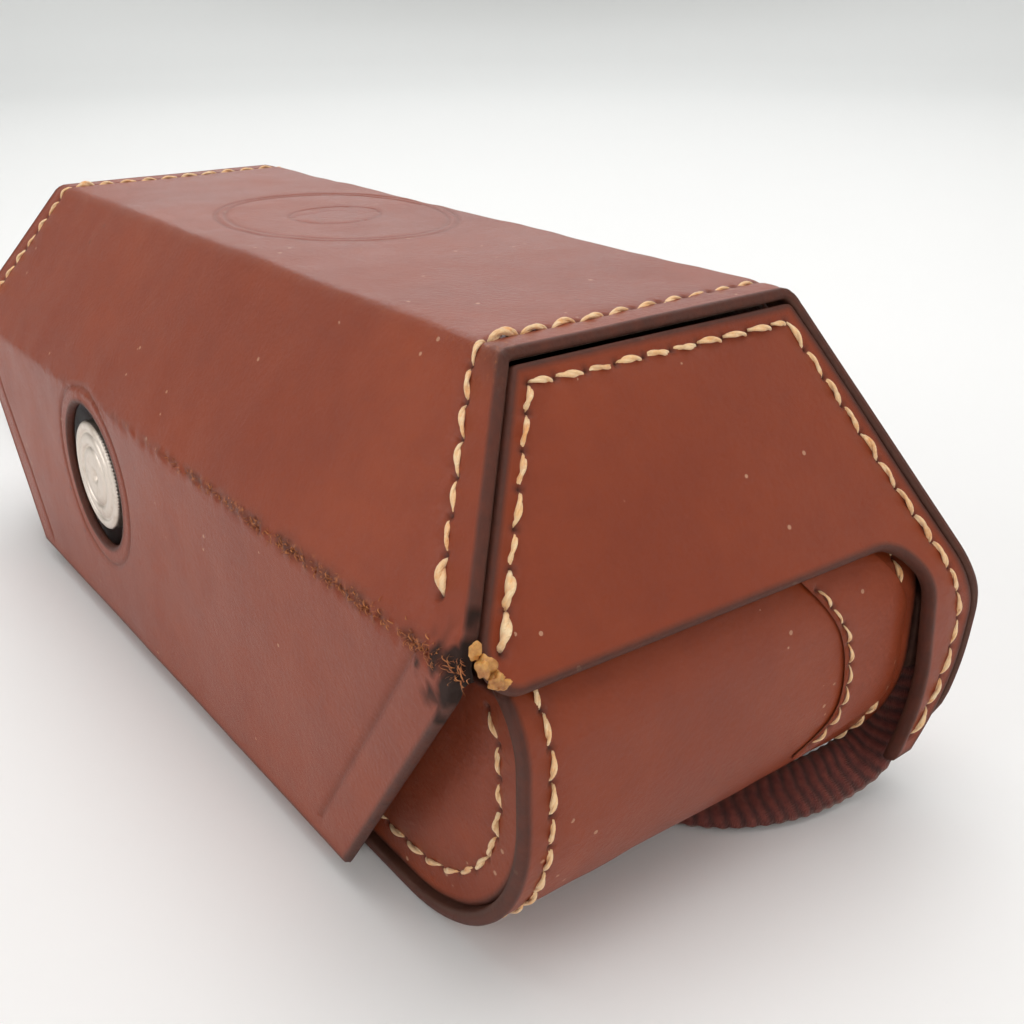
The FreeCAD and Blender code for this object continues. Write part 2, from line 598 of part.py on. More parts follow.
def make_clockwork():
    teeth = placed(gear(MODULE_ONE, BARREL_TEETH, 0), SUPPLY_X, SPOOL_Y)
    barrel = prism_z(teeth, BARREL_Z, BARREL_Z + GEAR_T)
    barrel = barrel.fuse(rod_z(DRUM_R, BARREL_Z, DRUM_TOP_Z, SUPPLY_X, SPOOL_Y))
    barrel = barrel.cut(rod_z(DRUM_BORE_R, BARREL_Z + 1.2, 41, SUPPLY_X, SPOOL_Y))
    barrel = barrel.cut(rod_z(SPINDLE_R + RUN, 30, 45, SUPPLY_X, SPOOL_Y))
    add("mainspring_barrel", barrel)
    strip = spiral(5.0, 16.6, 5, SPRING_T, BARREL_Z + 1.8, DRUM_TOP_Z - 0.5, SUPPLY_X, SPOOL_Y)
    add("mainspring", strip)
    step = math.pi + math.pi / IDLER_PINION_TEETH
    idler = prism_z(placed(gear(MODULE_ONE, IDLER_PINION_TEETH, step), IDLER_X, SPOOL_Y),
                    BARREL_Z, BARREL_Z + GEAR_T + 0.5)
    idler = idler.fuse(rod_z(3.2, BARREL_Z, WHEEL_Z, IDLER_X, SPOOL_Y))
    teeth = placed(gear(MODULE_TWO, IDLER_WHEEL_TEETH, 0), IDLER_X, SPOOL_Y)
    wheel = prism_z(teeth, WHEEL_Z, WHEEL_Z + WHEEL_T)
    idler = idler.fuse(wheel).cut(rod_z(ARBOR_R + RUN, 30, 46, IDLER_X, SPOOL_Y))
    add("idler_gear", idler)
    step = math.pi + math.pi / GOVERNOR_TEETH
    governor = prism_z(placed(gear(MODULE_TWO, GOVERNOR_TEETH, step), GOVERNOR_X, SPOOL_Y),
                       WHEEL_Z - 0.3, WHEEL_Z + WHEEL_T + 0.3)
    governor = governor.fuse(rod_z(2.6, 32.2, WHEEL_Z, GOVERNOR_X, SPOOL_Y))
    governor = governor.fuse(rod_z(FLYWHEEL_R, 34.5, 36.0, GOVERNOR_X, SPOOL_Y))
    for side in (-1, 1):
        governor = governor.fuse(rod_z(WEIGHT_R, 36.0, 39.5, GOVERNOR_X, SPOOL_Y + side * WEIGHT_AT))
    add("governor", governor.cut(rod_z(ARBOR_R + RUN, 30, 46, GOVERNOR_X, SPOOL_Y)))
    arbors = [rod_z(ARBOR_R, PLATE_Z1, ARBOR_TOP_Z, x, SPOOL_Y) for x in (IDLER_X, GOVERNOR_X)]
    arbors.append(rod_z(3.6, PLATE_Z1, 36.0, *BUTTON_SPOT))
    arbors.append(rod_z(PIN_R, 44.0, CAM_Z1 - WALL, *FOOTAGE_SPOT))
    arbors.append(rod_x(PIN_R, 56.6, CAM_X - WALL, SHUTTER_Y, AXIS_Z))
    arbors += [rod_z(SPINDLE_R, SPOOL_Z0 + 0.3, PLATE_Z0, x, SPOOL_Y) for x in (SUPPLY_X, TAKEUP_X)]
    add("fixed_arbors", Part.makeCompound(arbors))
    dial = rod_z(FOOTAGE_R, 44.3, 45.1, *FOOTAGE_SPOT).cut(rod_z(PIN_R + RUN, 40, 46, *FOOTAGE_SPOT))
    add("footage_dial", dial)


def spiral(r0, r1, turns, thick, z0, z1, x, y):
    """Flat spring strip wound in a spiral, as straight chords either side of its middle line."""
    count = 16 * turns
    inner = []
    outer = []
    for i in range(count + 1):
        angle = 2 * math.pi * turns * i / count
        r = r0 + (r1 - r0) * i / count
        inner.append((x + (r - thick / 2) * math.cos(angle), y + (r - thick / 2) * math.sin(angle), 0))
        outer.append((x + (r + thick / 2) * math.cos(angle), y + (r + thick / 2) * math.sin(angle), 0))
    return prism_z(inner + outer[::-1], z0, z1)


def make_winding_key():
    x, y = SUPPLY_X, SPOOL_Y
    add("winding_arbor", rod_z(SPINDLE_R, PLATE_Z1 + 0.3, KEY_Z + KEY_HUB_T, x, y))
    teeth = []
    for i in range(RATCHET_TEETH):
        angle = 2 * math.pi * i / RATCHET_TEETH
        teeth.append((x + RATCHET_R * math.cos(angle), y + RATCHET_R * math.sin(angle), 0))
        angle += 0.06
        teeth.append((x + RATCHET_ROOT_R * math.cos(angle), y + RATCHET_ROOT_R * math.sin(angle), 0))
    ratchet = prism_z(teeth, 44.0, 45.4).cut(rod_z(SPINDLE_R, 40, 50, x, y))
    add("ratchet_wheel", ratchet)
    hub_z = KEY_Z + KEY_HUB_T
    hub = rod_z(KEY_HUB_R, KEY_Z, hub_z, x, y).cut(rod_z(SPINDLE_R, 40, hub_z, x, y))
    pivot_z = KEY_Z + KEY_PIVOT_RISE
    for side in (-1, 1):
        ear_top = pivot_z + 1.8
        ear_y = y + side * KEY_EAR_AT
        ear = [(x - 2, hub_z, 0), (x + 2, hub_z, 0), (x + 2, ear_top, 1.6), (x - 2, ear_top, 1.6)]
        ear = prism_y(ear, ear_y - KEY_EAR_T / 2, ear_y + KEY_EAR_T / 2)
        hub = hub.fuse(ear)
    add("key_hub", hub.cut(rod_y(KEY_PIN_R, y - 10, y + 10, x, pivot_z)))
    add("key_pin", rod_y(KEY_PIN_R, y - KEY_PIN_HALF, y + KEY_PIN_HALF, x, pivot_z))
    plan = [(x + 1.4, y - 3.6, 0), (x + 1.4, y + 3.6, 0), (x - 4, y + 3.6, 0), (x - 5, y + 7, 1),
            (x - 14, y + 7, 5), (x - 14, y - 7, 5), (x - 5, y - 7, 1), (x - 4, y - 3.6, 0)]
    handle = prism_z(plan, pivot_z - KEY_BARREL_R, pivot_z + KEY_BARREL_R)
    nose = block(x, x + 3, y - 10, y + 10, pivot_z - 3, pivot_z + 3)
    handle = handle.cut(nose).fuse(rod_y(KEY_BARREL_R, y - 3.6, y + 3.6, x, pivot_z))
    handle = handle.cut(rod_z(3.2, 40, 60, x - 9, y)).cut(rod_y(KEY_PIN_R + RUN, y - 10, y + 10, x, pivot_z))
    add("key_handle", handle.removeSplitter())


def make_controls():
    x, y = DIAL_SPOT
    dial = rod_z(SPEED_DIAL_R, CAM_Z1 + 0.1, CAM_Z1 + 2.6, x, y)
    dial = dial.fuse(rod_z(SPEED_SHAFT_R, 44.0, CAM_Z1 + 0.1, x, y))
    dial = dial.fuse(block(x - 5.5, x + 5.5, y - 0.9, y + 0.9, CAM_Z1 + 2.6, CAM_Z1 + 4.4))
    add("speed_dial", dial)
    x, y = BUTTON_SPOT
    button = rod_z(BUTTON_R, 44.2, CAM_Z1 + 3.2, x, y)
    button = button.fuse(rod_z(BUTTON_FLANGE_R, 43.2, 44.2, x, y))
    add("release_button", button)
    helix = Part.makeHelix(SPRING_PITCH, 7.0, SPRING_COIL_R)
    helix.translate(V(x, y, 36.1))
    section = Part.Wire(Part.makeCircle(SPRING_WIRE_R, V(x + SPRING_COIL_R, y, 36.1), V(0, 1, 0.115)))
    coil = Part.Wire(helix.Edges).makePipeShell([section], True, True)
    add("release_spring", coil.common(block(x - 5, x + 5, y - 5, y + 5, 36.0, 43.2)))


def make_film_path():
    for name, x, roll_r in (("supply", SUPPLY_X, SUPPLY_ROLL_R), ("takeup", TAKEUP_X, TAKEUP_ROLL_R)):
        spool = rod_z(SPOOL_HUB_R, SPOOL_Z0, SPOOL_Z1, x, SPOOL_Y)
        for z in (SPOOL_Z0, SPOOL_Z1 - FLANGE_T):
            spool = spool.fuse(rod_z(SPOOL_R, z, z + FLANGE_T, x, SPOOL_Y))
        add(name + "_spool", spool.cut(rod_z(SPINDLE_R + RUN, 0, 30, x, SPOOL_Y)).removeSplitter())
        edge = FLANGE_T + FILM_CLEAR
        roll = rod_z(roll_r, SPOOL_Z0 + edge, SPOOL_Z1 - edge, x, SPOOL_Y)
        add(name + "_film", roll.cut(rod_z(SPOOL_HUB_R, 0, 40, x, SPOOL_Y)))
    gate = block(GATE_X, GATE_X + GATE_T, -12, 12, DOOR_Z + 0.6, PLATE_Z0)
    aperture = block(50, 60, -APERTURE_Y, APERTURE_Y, AXIS_Z - APERTURE_Z, AXIS_Z + APERTURE_Z)
    add("film_gate", gate.cut(aperture))
    add("pressure_plate", block(GATE_X - 2.4, GATE_X - 1.0, -10, 10, DOOR_Z + 2, PLATE_Z0 - 2))
    shutter = rod_x(SHUTTER_R, SHUTTER_X, SHUTTER_X + SHUTTER_T, SHUTTER_Y, AXIS_Z)
    opening = block(50, 60, SHUTTER_Y - 12, SHUTTER_Y + 12, AXIS_Z + 2.2, AXIS_Z + 12)
    hub = rod_x(SHUTTER_HUB_R, SHUTTER_X - 0.5, SHUTTER_X + SHUTTER_T + 0.8, SHUTTER_Y, AXIS_Z)
    shutter = shutter.cut(opening).fuse(hub)
    add("shutter_disc", shutter.cut(rod_x(PIN_R + RUN, 50, 60, SHUTTER_Y, AXIS_Z)))
    add("film_claw", block(CLAW_X, CLAW_X + CLAW_T, -11, -4, 25.4, 26.8))


def strap_path(points):
    """Straight runs joined by tangent arcs, each as large as its two runs allow."""
    corners = [V(*p) for p in points]
    edges = []
    last = corners[0]
    for i in range(1, len(corners) - 1):
        back = (corners[i - 1] - corners[i])
        ahead = (corners[i + 1] - corners[i])
        run = min(back.Length, ahead.Length)
        back.normalize()
        ahead.normalize()
        turn = math.pi - back.getAngle(ahead)
        reach = 0.45 * run
        radius = reach / math.tan(turn / 2)
        middle = (back + ahead).normalize()
        centre = corners[i] + middle * math.hypot(radius, reach)
        start = corners[i] + back * reach
        end = corners[i] + ahead * reach
        edges.append(Part.makeLine(last, start))
        edges.append(Part.Arc(start, centre - middle * radius, end).toShape())
        last = end
    edges.append(Part.makeLine(last, corners[-1]))
    return Part.Wire(edges)


def strap_tube(name, points):
    path = strap_path(points)
    first = V(*points[0])
    heading = (V(*points[1]) - first).normalize()
    section = Part.Wire(Part.makeCircle(STRAP_T / 2, first, heading))
    tube = path.makePipeShell([section], True, True)
    print(name, "length", round(path.Length, 1))
    add(name, tube)


LYING = STRAP_T / 2 + 0.05
NEAR_ROUTE = [
    (STRAP_X, STRAP_Y, STRAP_EXIT_Z),
    (STRAP_X, STRAP_Y, 13.4),
    (88.2, 31.7, 7.2),
    (87.4, 26.4, 3.9),
    (85.6, 15.6, 3.0),
    (79.4, 5.4, 1.8),
    (66.0, -1.0, LYING),
    (43.0, -4.0, LYING),
    (17.0, -5.0, LYING),
    (-9.0, -5.2, LYING),
    (-35.0, -4.6, LYING),
    (-60.0, -3.4, LYING),
    (-82.0, -2.6, LYING),
    (-97.0, -4.8, 2.6),
    (-109.0, -8.4, 4.1),
    (-121.0, -12.6, 4.1),
    (-132.5, -16.8, 4.1),
]
FAR_ROUTE = [
    (-STRAP_X, STRAP_Y, STRAP_EXIT_Z),
    (-STRAP_X, STRAP_Y, 17.0),
    (-89.6, STRAP_Y, 13.0),
    (-90.8, 30.0, 10.6),
    (-94.6, 27.0, 10.4),
    (-99.2, 28.8, 11.2),
    (-104.6, 35.8, 12.4),
    (-112.6, 46.2, 12.6),
]


def make_strap():
    strap_tube("strap_near_run", NEAR_ROUTE)
    strap_tube("strap_far_run", FAR_ROUTE)
    ring = rod_z(COIL_R + COIL_HALF, 0, STRAP_W + 0.2, COIL_X, COIL_Y)
    add("strap_coil", ring.cut(rod_z(COIL_R - COIL_HALF, -1, STRAP_W + 1, COIL_X, COIL_Y)))


make_case_back()
make_flap()
make_cover()
make_strap_fittings()
make_snap()
make_tripod_knob()
make_camera_body()
make_finder()
make_lens()
make_clockwork()
make_winding_key()
make_controls()
make_film_path()
make_strap()

os.makedirs("parts", exist_ok=True)
for node, shape in NODES.items():
    shape.exportStep(os.path.join("parts", node + ".step"))
print(len(NODES), "nodes")
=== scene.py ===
"""Looks for the leather camera case: its leather, stitching, strap, knob and the camera inside it."""
import math

import bpy
import numpy as np
from mathutils import Matrix, Vector
from mathutils.geometry import delaunay_2d_cdt
from mathutils.kdtree import KDTree


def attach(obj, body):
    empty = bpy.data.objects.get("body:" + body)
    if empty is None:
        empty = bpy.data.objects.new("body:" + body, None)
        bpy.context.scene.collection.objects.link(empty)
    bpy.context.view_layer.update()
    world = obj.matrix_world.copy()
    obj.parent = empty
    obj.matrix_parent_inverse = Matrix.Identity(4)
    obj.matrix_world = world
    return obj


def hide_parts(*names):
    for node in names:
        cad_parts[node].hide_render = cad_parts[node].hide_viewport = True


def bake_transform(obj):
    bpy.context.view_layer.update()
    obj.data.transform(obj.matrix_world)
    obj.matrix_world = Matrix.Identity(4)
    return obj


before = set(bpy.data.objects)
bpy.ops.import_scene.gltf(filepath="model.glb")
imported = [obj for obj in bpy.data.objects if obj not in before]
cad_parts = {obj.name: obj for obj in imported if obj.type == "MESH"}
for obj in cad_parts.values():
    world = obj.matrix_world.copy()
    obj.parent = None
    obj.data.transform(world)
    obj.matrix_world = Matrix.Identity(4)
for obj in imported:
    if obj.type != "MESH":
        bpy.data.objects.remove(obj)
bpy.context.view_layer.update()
MM = 0.001
rng = np.random.default_rng(7)

# ---- sizes that the looks share with the design, in millimetres ----
LEATHER, RIM_THICK, LINING = 2.0, 1.55, 0.75
COVER_TOP_Z, COVER_TOP_X, COVER_TOP_Y = 71.1, 73.4, 22.8
CREASE_Y, CREASE_Z, CREASE_X = -40.0, 44.8, 90.0
WIDEST_Y, WIDEST_Z, WIDEST_R = 40.35, 30.5, 9.0
SKIRT_Y, SKIRT_Z, FOLD_R = 36.8, 8.0, 2.5
END_SLOPE, EAR_X, EAR_R = 0.631, 95.6, 12.0
PANEL_INSET, PANEL_LOW_Z = 0.9, 41.5
SLOT_TOP_Y, SLOT_FOOT_Y, SLOT_R = 28.8, 31.8, 8.0
BAND_X, BAND_Y0, BAND_Y1 = 92.0, -34.0, 31.0
BAND_LIP_X, BAND_LIP_Z, BAND_SHOULDER_Z = 80.5, 47.5, 37.0
BAND_SHOULDER_R, BAND_FOOT_R = 12.0, 25.0
HOLLOW_RISE, HOLLOW_HALF, HOLLOW_Y = 4.2, 26.5, -1.5
SIDE_Y0 = BAND_Y0 + 1.0
FLAP_LOW_Z, FLAP_LOW_X = 4.0, 61.7
KNOB_X, KNOB_Z, FLAP_HOLE_R = -21.0, 30.5, 12.5
STITCH_PITCH = 4.3


# ================= flat outlines, and how they lie in space =================
def unit(rows):
    """Each row at length one."""
    return rows / np.linalg.norm(rows, axis=1)[:, None]


def rounded(corners, step=0.8, closed=True):
    """Polyline round (a, b, radius) corners, with its arcs as short chords."""
    out = []
    count = len(corners)
    for i, (a, b, r) in enumerate(corners):
        here = Vector((a, b))
        if r <= 0 or (not closed and i in (0, count - 1)):
            out.append((a, b))
            continue
        back = (Vector(corners[i - 1][:2]) - here).normalized()
        ahead = (Vector(corners[(i + 1) % count][:2]) - here).normalized()
        half = back.angle(ahead) / 2
        start = here + back * (r / math.tan(half))
        end = here + ahead * (r / math.tan(half))
        centre = here + (back + ahead).normalized() * (r / math.sin(half))
        a0 = math.atan2(start.y - centre.y, start.x - centre.x)
        turn = (math.atan2(end.y - centre.y, end.x - centre.x) - a0 + math.pi) % (2 * math.pi) - math.pi
        parts = max(3, round(abs(turn) * r / step))
        for k in range(parts + 1):
            angle = a0 + turn * k / parts
            out.append((centre.x + r * math.cos(angle), centre.y + r * math.sin(angle)))
    return out


def columns_at(at, run, table):
    """Rows read from a table, whose own rows lie at the lengths in run, at other lengths."""
    table = np.asarray(table, float)
    return np.stack([np.interp(at, run, column) for column in table.T], 1)


def spaced(line, step, closed=False):
    """Points at even steps along a polyline; a closed one keeps its corners."""
    p = np.array(line, float)
    if closed:
        p = np.vstack([p, p[:1]])
        out = []
        for a, b in zip(p, p[1:]):
            parts = max(1, round(math.dist(a, b) / step))
            out += [a + (b - a) * k / parts for k in range(parts)]
        return np.array(out)
    run = np.r_[0, np.cumsum(np.linalg.norm(np.diff(p, axis=0), axis=1))]
    at = np.linspace(0, run[-1], max(2, round(run[-1] / step) + 1))
    return columns_at(at, run, p)


def anticlockwise(loop):
    """A closed loop, turned to run anticlockwise."""
    a, b = loop.T
    return loop[::-1] if (a * np.roll(b, -1) - np.roll(a, -1) * b).sum() < 0 else loop


def inset(line, depth, closed=True):
    """A polyline moved to its left by a depth."""
    p = np.array(line, float)
    ahead = np.roll(p, -1, 0) - p
    back = p - np.roll(p, 1, 0)
    if not closed:
        ahead[-1], back[0] = back[-1], ahead[0]
    back, ahead = unit(back), unit(ahead)
    both = back + ahead
    normal = np.stack([-both[:, 1], both[:, 0]], 1)
    bend = np.maximum(1 + (back * ahead).sum(1), 0.4)
    return p + normal * (depth / bend)[:, None]


def distance(points, lines, closed):
    """Distance from each point to the nearest of several polylines."""
    best = np.full(len(points), 1e9)
    for line in lines:
        a = np.array(line, float)
        b = np.roll(a, -1, 0)
        if not closed:
            a, b = a[:-1], b[:-1]
        d = b - a
        size = np.maximum((d ** 2).sum(1), 1e-12)
        for lo in range(0, len(points), 2000):
            p = points[lo:lo + 2000, None, :]
            t = np.clip(((p - a) * d).sum(2) / size, 0, 1)
            gap = np.sqrt((((p - a) - t[..., None] * d) ** 2).sum(2)).min(1)
            best[lo:lo + 2000] = np.minimum(best[lo:lo + 2000], gap)
    return best


def inside(points, loop):
    """Which points lie inside a closed polyline."""
    a = np.array(loop, float)
    b = np.roll(a, -1, 0)
    odd = np.zeros(len(points), bool)
    for (ax, ay), (bx, by) in zip(a, b):
        if ay != by:
            hit = (ay > points[:, 1]) != (by > points[:, 1])
            odd ^= hit & (points[:, 0] < (bx - ax) * (points[:, 1] - ay) / (by - ay) + ax)
    return odd


def waves(u, v, size, seed, count=9):
    """Smooth random height between about -1 and 1, with bumps of a given size."""
    r = np.random.default_rng(seed)
    total = np.zeros(np.shape(u))
    for _ in range(count):
        angle, phase = r.uniform(0, 2 * math.pi, 2)
        k = 2 * math.pi / (size * r.uniform(0.7, 1.6))
        total = total + np.sin(k * (u * math.cos(angle) + v * math.sin(angle)) + phase)
    return total / math.sqrt(count)


class Profile:
    """A bent line across a sheet: gives the point and outward normal at a length along it."""

    def __init__(self, corners, step=0.4):
        p = np.array(rounded(corners, step, closed=False))
        run = np.linalg.norm(np.diff(p, axis=0), axis=1)
        self.p = p[np.r_[True, run > 1e-6]]
        d = np.diff(self.p, axis=0)
        run = np.linalg.norm(d, axis=1)
        self.lengths = np.r_[0, np.cumsum(run)]
        self.total = self.lengths[-1]
        side = np.stack([-d[:, 1], d[:, 0]], 1) / run[:, None]
        self.n = unit(np.vstack([side[:1], side[:-1] + side[1:], side[-1:]]))

    def at(self, s):
        """Points, and normals to the left of travel, at lengths s; it runs on straight past its ends."""
        s = np.asarray(s, float)
        over = np.clip(s, 0, self.total)
        point, normal = columns_at(over, self.lengths, self.p), unit(columns_at(over, self.lengths, self.n))
        tangent = np.stack([normal[:, 1], -normal[:, 0]], 1)
        return point + tangent * (s - over)[:, None], normal

    def length_at(self, index, value, last=False):
        """Length at which its first (0) or second (1) coordinate passes a value."""
        c = self.p[:, index] - value
        hits = np.nonzero(c[:-1] * c[1:] <= 0)[0]
        i = hits[-1 if last else 0]
        return self.lengths[i] + (self.lengths[i + 1] - self.lengths[i]) * c[i] / (c[i] - c[i + 1])


def across_x(profile):
    """A sheet bent round the X direction: u is x, v the length along a (y, z) profile."""
    def place(u, v):
        p, n = profile.at(v)
        return np.stack([u, p[:, 0], p[:, 1]], 1), np.stack([0 * u, n[:, 0], n[:, 1]], 1)
    return place


def across_y(profile, side=1, shape=None):
    """A sheet bent round the Y direction: u is y, v the length along an (x, z) profile."""
    def place(u, v):
        p, n = profile.at(v)
        points = np.stack([side * p[:, 0], u, p[:, 1]], 1)
        normals = np.stack([side * n[:, 0], 0 * u, n[:, 1]], 1)
        return (points, normals) if shape is None else shape(points, normals)
    return place


CURL_IN, CURL_BACK = 4.4, 1.2
CURL_X0, CURL_X1, CURL_Y0 = 89.0, 92.6, 20.0
CURL_TOP_Z, CURL_HEIGHT = 25.0, 17.0


def curled_ear(place):
    """The cover's near ear, past the strap, has curled in towards its lower end."""
    def bent(u, v):
        points, normals = place(u, v)
        past = np.clip((points[:, 0] - CURL_X0) / (CURL_X1 - CURL_X0), 0, 1)
        down = np.clip((CURL_TOP_Z - points[:, 2]) / CURL_HEIGHT, 0, 1.2)
        curl = (points[:, 1] > CURL_Y0) * past * past * (3 - 2 * past) * down ** 2
        points = points.copy()
        points[:, 1] -= CURL_IN * curl
        points[:, 0] -= CURL_BACK * curl
        return points, normals
    return bent


def flat_y(y, facing):
    """A flat sheet in a plane of constant y: u is x, v is z."""
    def place(u, v):
        return np.stack([u, y + 0 * u, v], 1), np.stack([0 * u, facing + 0 * u, 0 * u], 1)
    return place


# ================= meshes =================
def make_mesh(name, points, faces, body, material, attributes=None):
    """A mesh object from points in millimetres, riding on a body."""
    mesh = bpy.data.meshes.new(name)
    mesh.from_pydata((np.asarray(points, float) * MM).tolist(), [], faces)
    for key, values in (attributes or {}).items():
        layer = mesh.attributes.new(key, "FLOAT", "POINT")
        layer.data.foreach_set("value", np.asarray(values, np.float32))
    mesh.polygons.foreach_set("use_smooth", [True] * len(mesh.polygons))
    mesh.validate()
    mesh.update()
    obj = bpy.data.objects.new(name, mesh)
    bpy.context.scene.collection.objects.link(obj)
    mesh.materials.append(material)
    if body:
        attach(obj, body)
    return obj


def tube_faces(rings, sides, first=0):
    """Faces of a tube of rings, with a flat cap at each end."""
    faces = []
    for i in range(rings - 1):
        for k in range(sides):
            a = first + i * sides + k
            b = first + i * sides + (k + 1) % sides
            faces.append((a, b, b + sides, a + sides))
    faces.append(tuple(first + k for k in range(sides))[::-1])
    faces.append(tuple(first + (rings - 1) * sides + k for k in range(sides)))
    return faces


# ================= leather sheets =================
# How finely a flat sheet is divided beside its cut edges, pressed lines, folds and needle holes.
EDGE_STEP, HOLE_STEP = 0.9, 0.6
EDGE_DEPTHS = (0.1, 0.32, 0.7, 1.25)
GROOVE_OFFSETS = (-2.0, -1.0, -0.45, 0.0, 0.45, 1.0, 2.0)
FOLD_OFFSETS = (-3.6, -2.4, -1.5, -0.8, -0.25, 0.25, 0.8, 1.5, 2.4, 3.6)
NEEDLE_RINGS = (0.0, 0.42, 0.95)
EDGE_CLEAR, POINT_CLEAR = 0.07, 0.16
# The line creased beside a cut edge, the pit at a needle hole and the channel along a row of stitches.
CREASER_AT, CREASER_WIDE, CREASER_DEPTH = 1.5, 0.5, 0.16
PIT_R, PIT_DEPTH = 0.38, 0.5
CHANNEL_WIDE, CHANNEL_DEPTH = 0.95, 0.22
# How far the burnishing reaches in from a cut edge, on the grain side and on the flesh side.
BURNISH_GRAIN, BURNISH_FLESH = 0.85, 2.6
# A cut edge bulges out a little at just over half its thickness.
BELLY_OUT, BELLY_DOWN = 0.16, 0.55


def on_sheet(points, loops):
    """Which flat points lie inside a sheet's outline and outside its holes."""
    there = inside(points, loops[0])
    for hole in loops[1:]:
        there &= ~inside(points, hole)
    return there


def search_tree(points):
    """Tree for finding the nearest of some flat points."""
    tree = KDTree(len(points))
    for i, (a, b) in enumerate(points):
        tree.insert((a, b, 0), i)
    tree.balance()
    return tree


def sheet_points(loops, step, grooves, needles, folds):
    """Inner points of a flat sheet: close together where it has detail, an even grid elsewhere."""
    fine = []
    for loop in loops:
        for depth in EDGE_DEPTHS:
            ring = inset(loop, depth)
            fine.append(ring[distance(ring, loops, True) > 0.85 * depth])
    for line, half, _ in grooves:
        for side in GROOVE_OFFSETS:
            fine.append(inset(spaced(line, max(0.7, half)), side * half, closed=False))
    for v_fold in folds:
        span = np.arange(loops[0][:, 0].min() + 0.4, loops[0][:, 0].max(), 0.9)
        for side in FOLD_OFFSETS:
            fine.append(np.stack([span + 0.45 * (round(side * 10) % 2), 0 * span + v_fold + side], 1))
    if len(needles):
        for r in NEEDLE_RINGS:
            for k in range(1 if r == 0 else 6):
                angle = math.pi * k / 3 + r
                fine.append(needles + [r * math.cos(angle), r * math.sin(angle)])
    fine = np.vstack(fine)
    fine = fine[on_sheet(fine, loops) & (distance(fine, loops, True) > EDGE_CLEAR)]
    tree = search_tree(fine)
    kept = [(a, b) for i, (a, b) in enumerate(fine)
            if all(j >= i for _, j, _ in tree.find_range((a, b, 0), POINT_CLEAR))]
    low, high = loops[0].min(0), loops[0].max(0)
    us, vs = np.meshgrid(np.arange(low[0], high[0], step), np.arange(low[1], high[1], step * 0.866))
    us = us + (np.arange(us.shape[0]) % 2)[:, None] * step / 2
    grid = np.stack([us.ravel(), vs.ravel()], 1)
    grid = grid[on_sheet(grid, loops)]
    grid = grid[distance(grid, loops, True) > EDGE_DEPTHS[-1] + 0.35 * step]
    return kept + [(a, b) for a, b in grid if tree.find((a, b, 0))[2] > 0.5 * step]


def triangulate(loops, points):
    """Corners and triangles of a flat sheet."""
    coords, edges = [], []
    for loop in loops:
        first = len(coords)
        coords += [Vector(p) for p in loop]
        edges += [(first + i, first + (i + 1) % len(loop)) for i in range(len(loop))]
    coords += [Vector(p) for p in points]
    flat, _, tris, _, _, _ = delaunay_2d_cdt(coords, edges, [], 1, 1e-5)
    uv = np.array([(p.x, p.y) for p in flat])
    tris = np.array(tris)
    tris = tris[on_sheet(uv[tris].mean(1), loops)]
    used = np.unique(tris)
    renumber = np.full(len(uv), -1)
    renumber[used] = np.arange(len(used))
    return uv[used], renumber[tris]


def needle_marks(uv, rows, needles):
    """Strength at each point of the needle pits, and of the channels that the stitches lie in."""
    if not len(needles):
        return np.zeros(len(uv)), np.zeros(len(uv))
    tree = search_tree(needles)
    near = np.array([tree.find((a, b, 0))[2] for a, b in uv])
    return np.exp(-(near / PIT_R) ** 2), np.exp(-(distance(uv, rows, False) / CHANNEL_WIDE) ** 2)


def sheet_shell(uv, tris, place, height, drop, thick):
    """Points and faces of a sheet's two sides and its cut edge, and which corners lie on the edge."""
    count = len(uv)
    pairs = dict.fromkeys(pair for a, b, c in tris for pair in ((a, b), (b, c), (c, a)))
    border = [pair for pair in pairs if pair[::-1] not in pairs]
    push = np.zeros((count, 2))
    for a, b in border:
        d = uv[b] - uv[a]
        d = np.array([d[1], -d[0]]) / max(np.linalg.norm(d), 1e-9)
        push[a] += d
        push[b] += d
    size = np.linalg.norm(push, axis=1)
    push[size > 0] /= size[size > 0][:, None]
    point, normal = place(uv[:, 0], uv[:, 1])
    outer = point + normal * height[:, None]
    inner = point - normal * (thick - 0.5 * drop)[:, None] + normal * (0.35 * (height + drop))[:, None]
    belly_point, belly_normal = place(uv[:, 0] + push[:, 0] * BELLY_OUT, uv[:, 1] + push[:, 1] * BELLY_OUT)
    belly = belly_point - belly_normal * (thick * BELLY_DOWN)
    on_border = np.unique(np.array(border))
    belly_id = {i: 2 * count + k for k, i in enumerate(on_border)}
    a, b, c = tris.T
    flip = (np.cross(outer[b] - outer[a], outer[c] - outer[a]) * normal[a]).sum() < 0
    grain, flesh = tris, tris[:, [0, 2, 1]] + count
    if flip:
        grain, flesh = tris[:, [0, 2, 1]], tris + count
    faces = grain.tolist() + flesh.tolist()
    for a, b in border:
        quads = [(b, a, belly_id[a], belly_id[b]), (belly_id[b], belly_id[a], a + count, b + count)]
        faces += [tuple(int(i) for i in (q[::-1] if flip else q)) for q in quads]
    return np.vstack([outer, inner, belly[on_border]]), faces, on_border


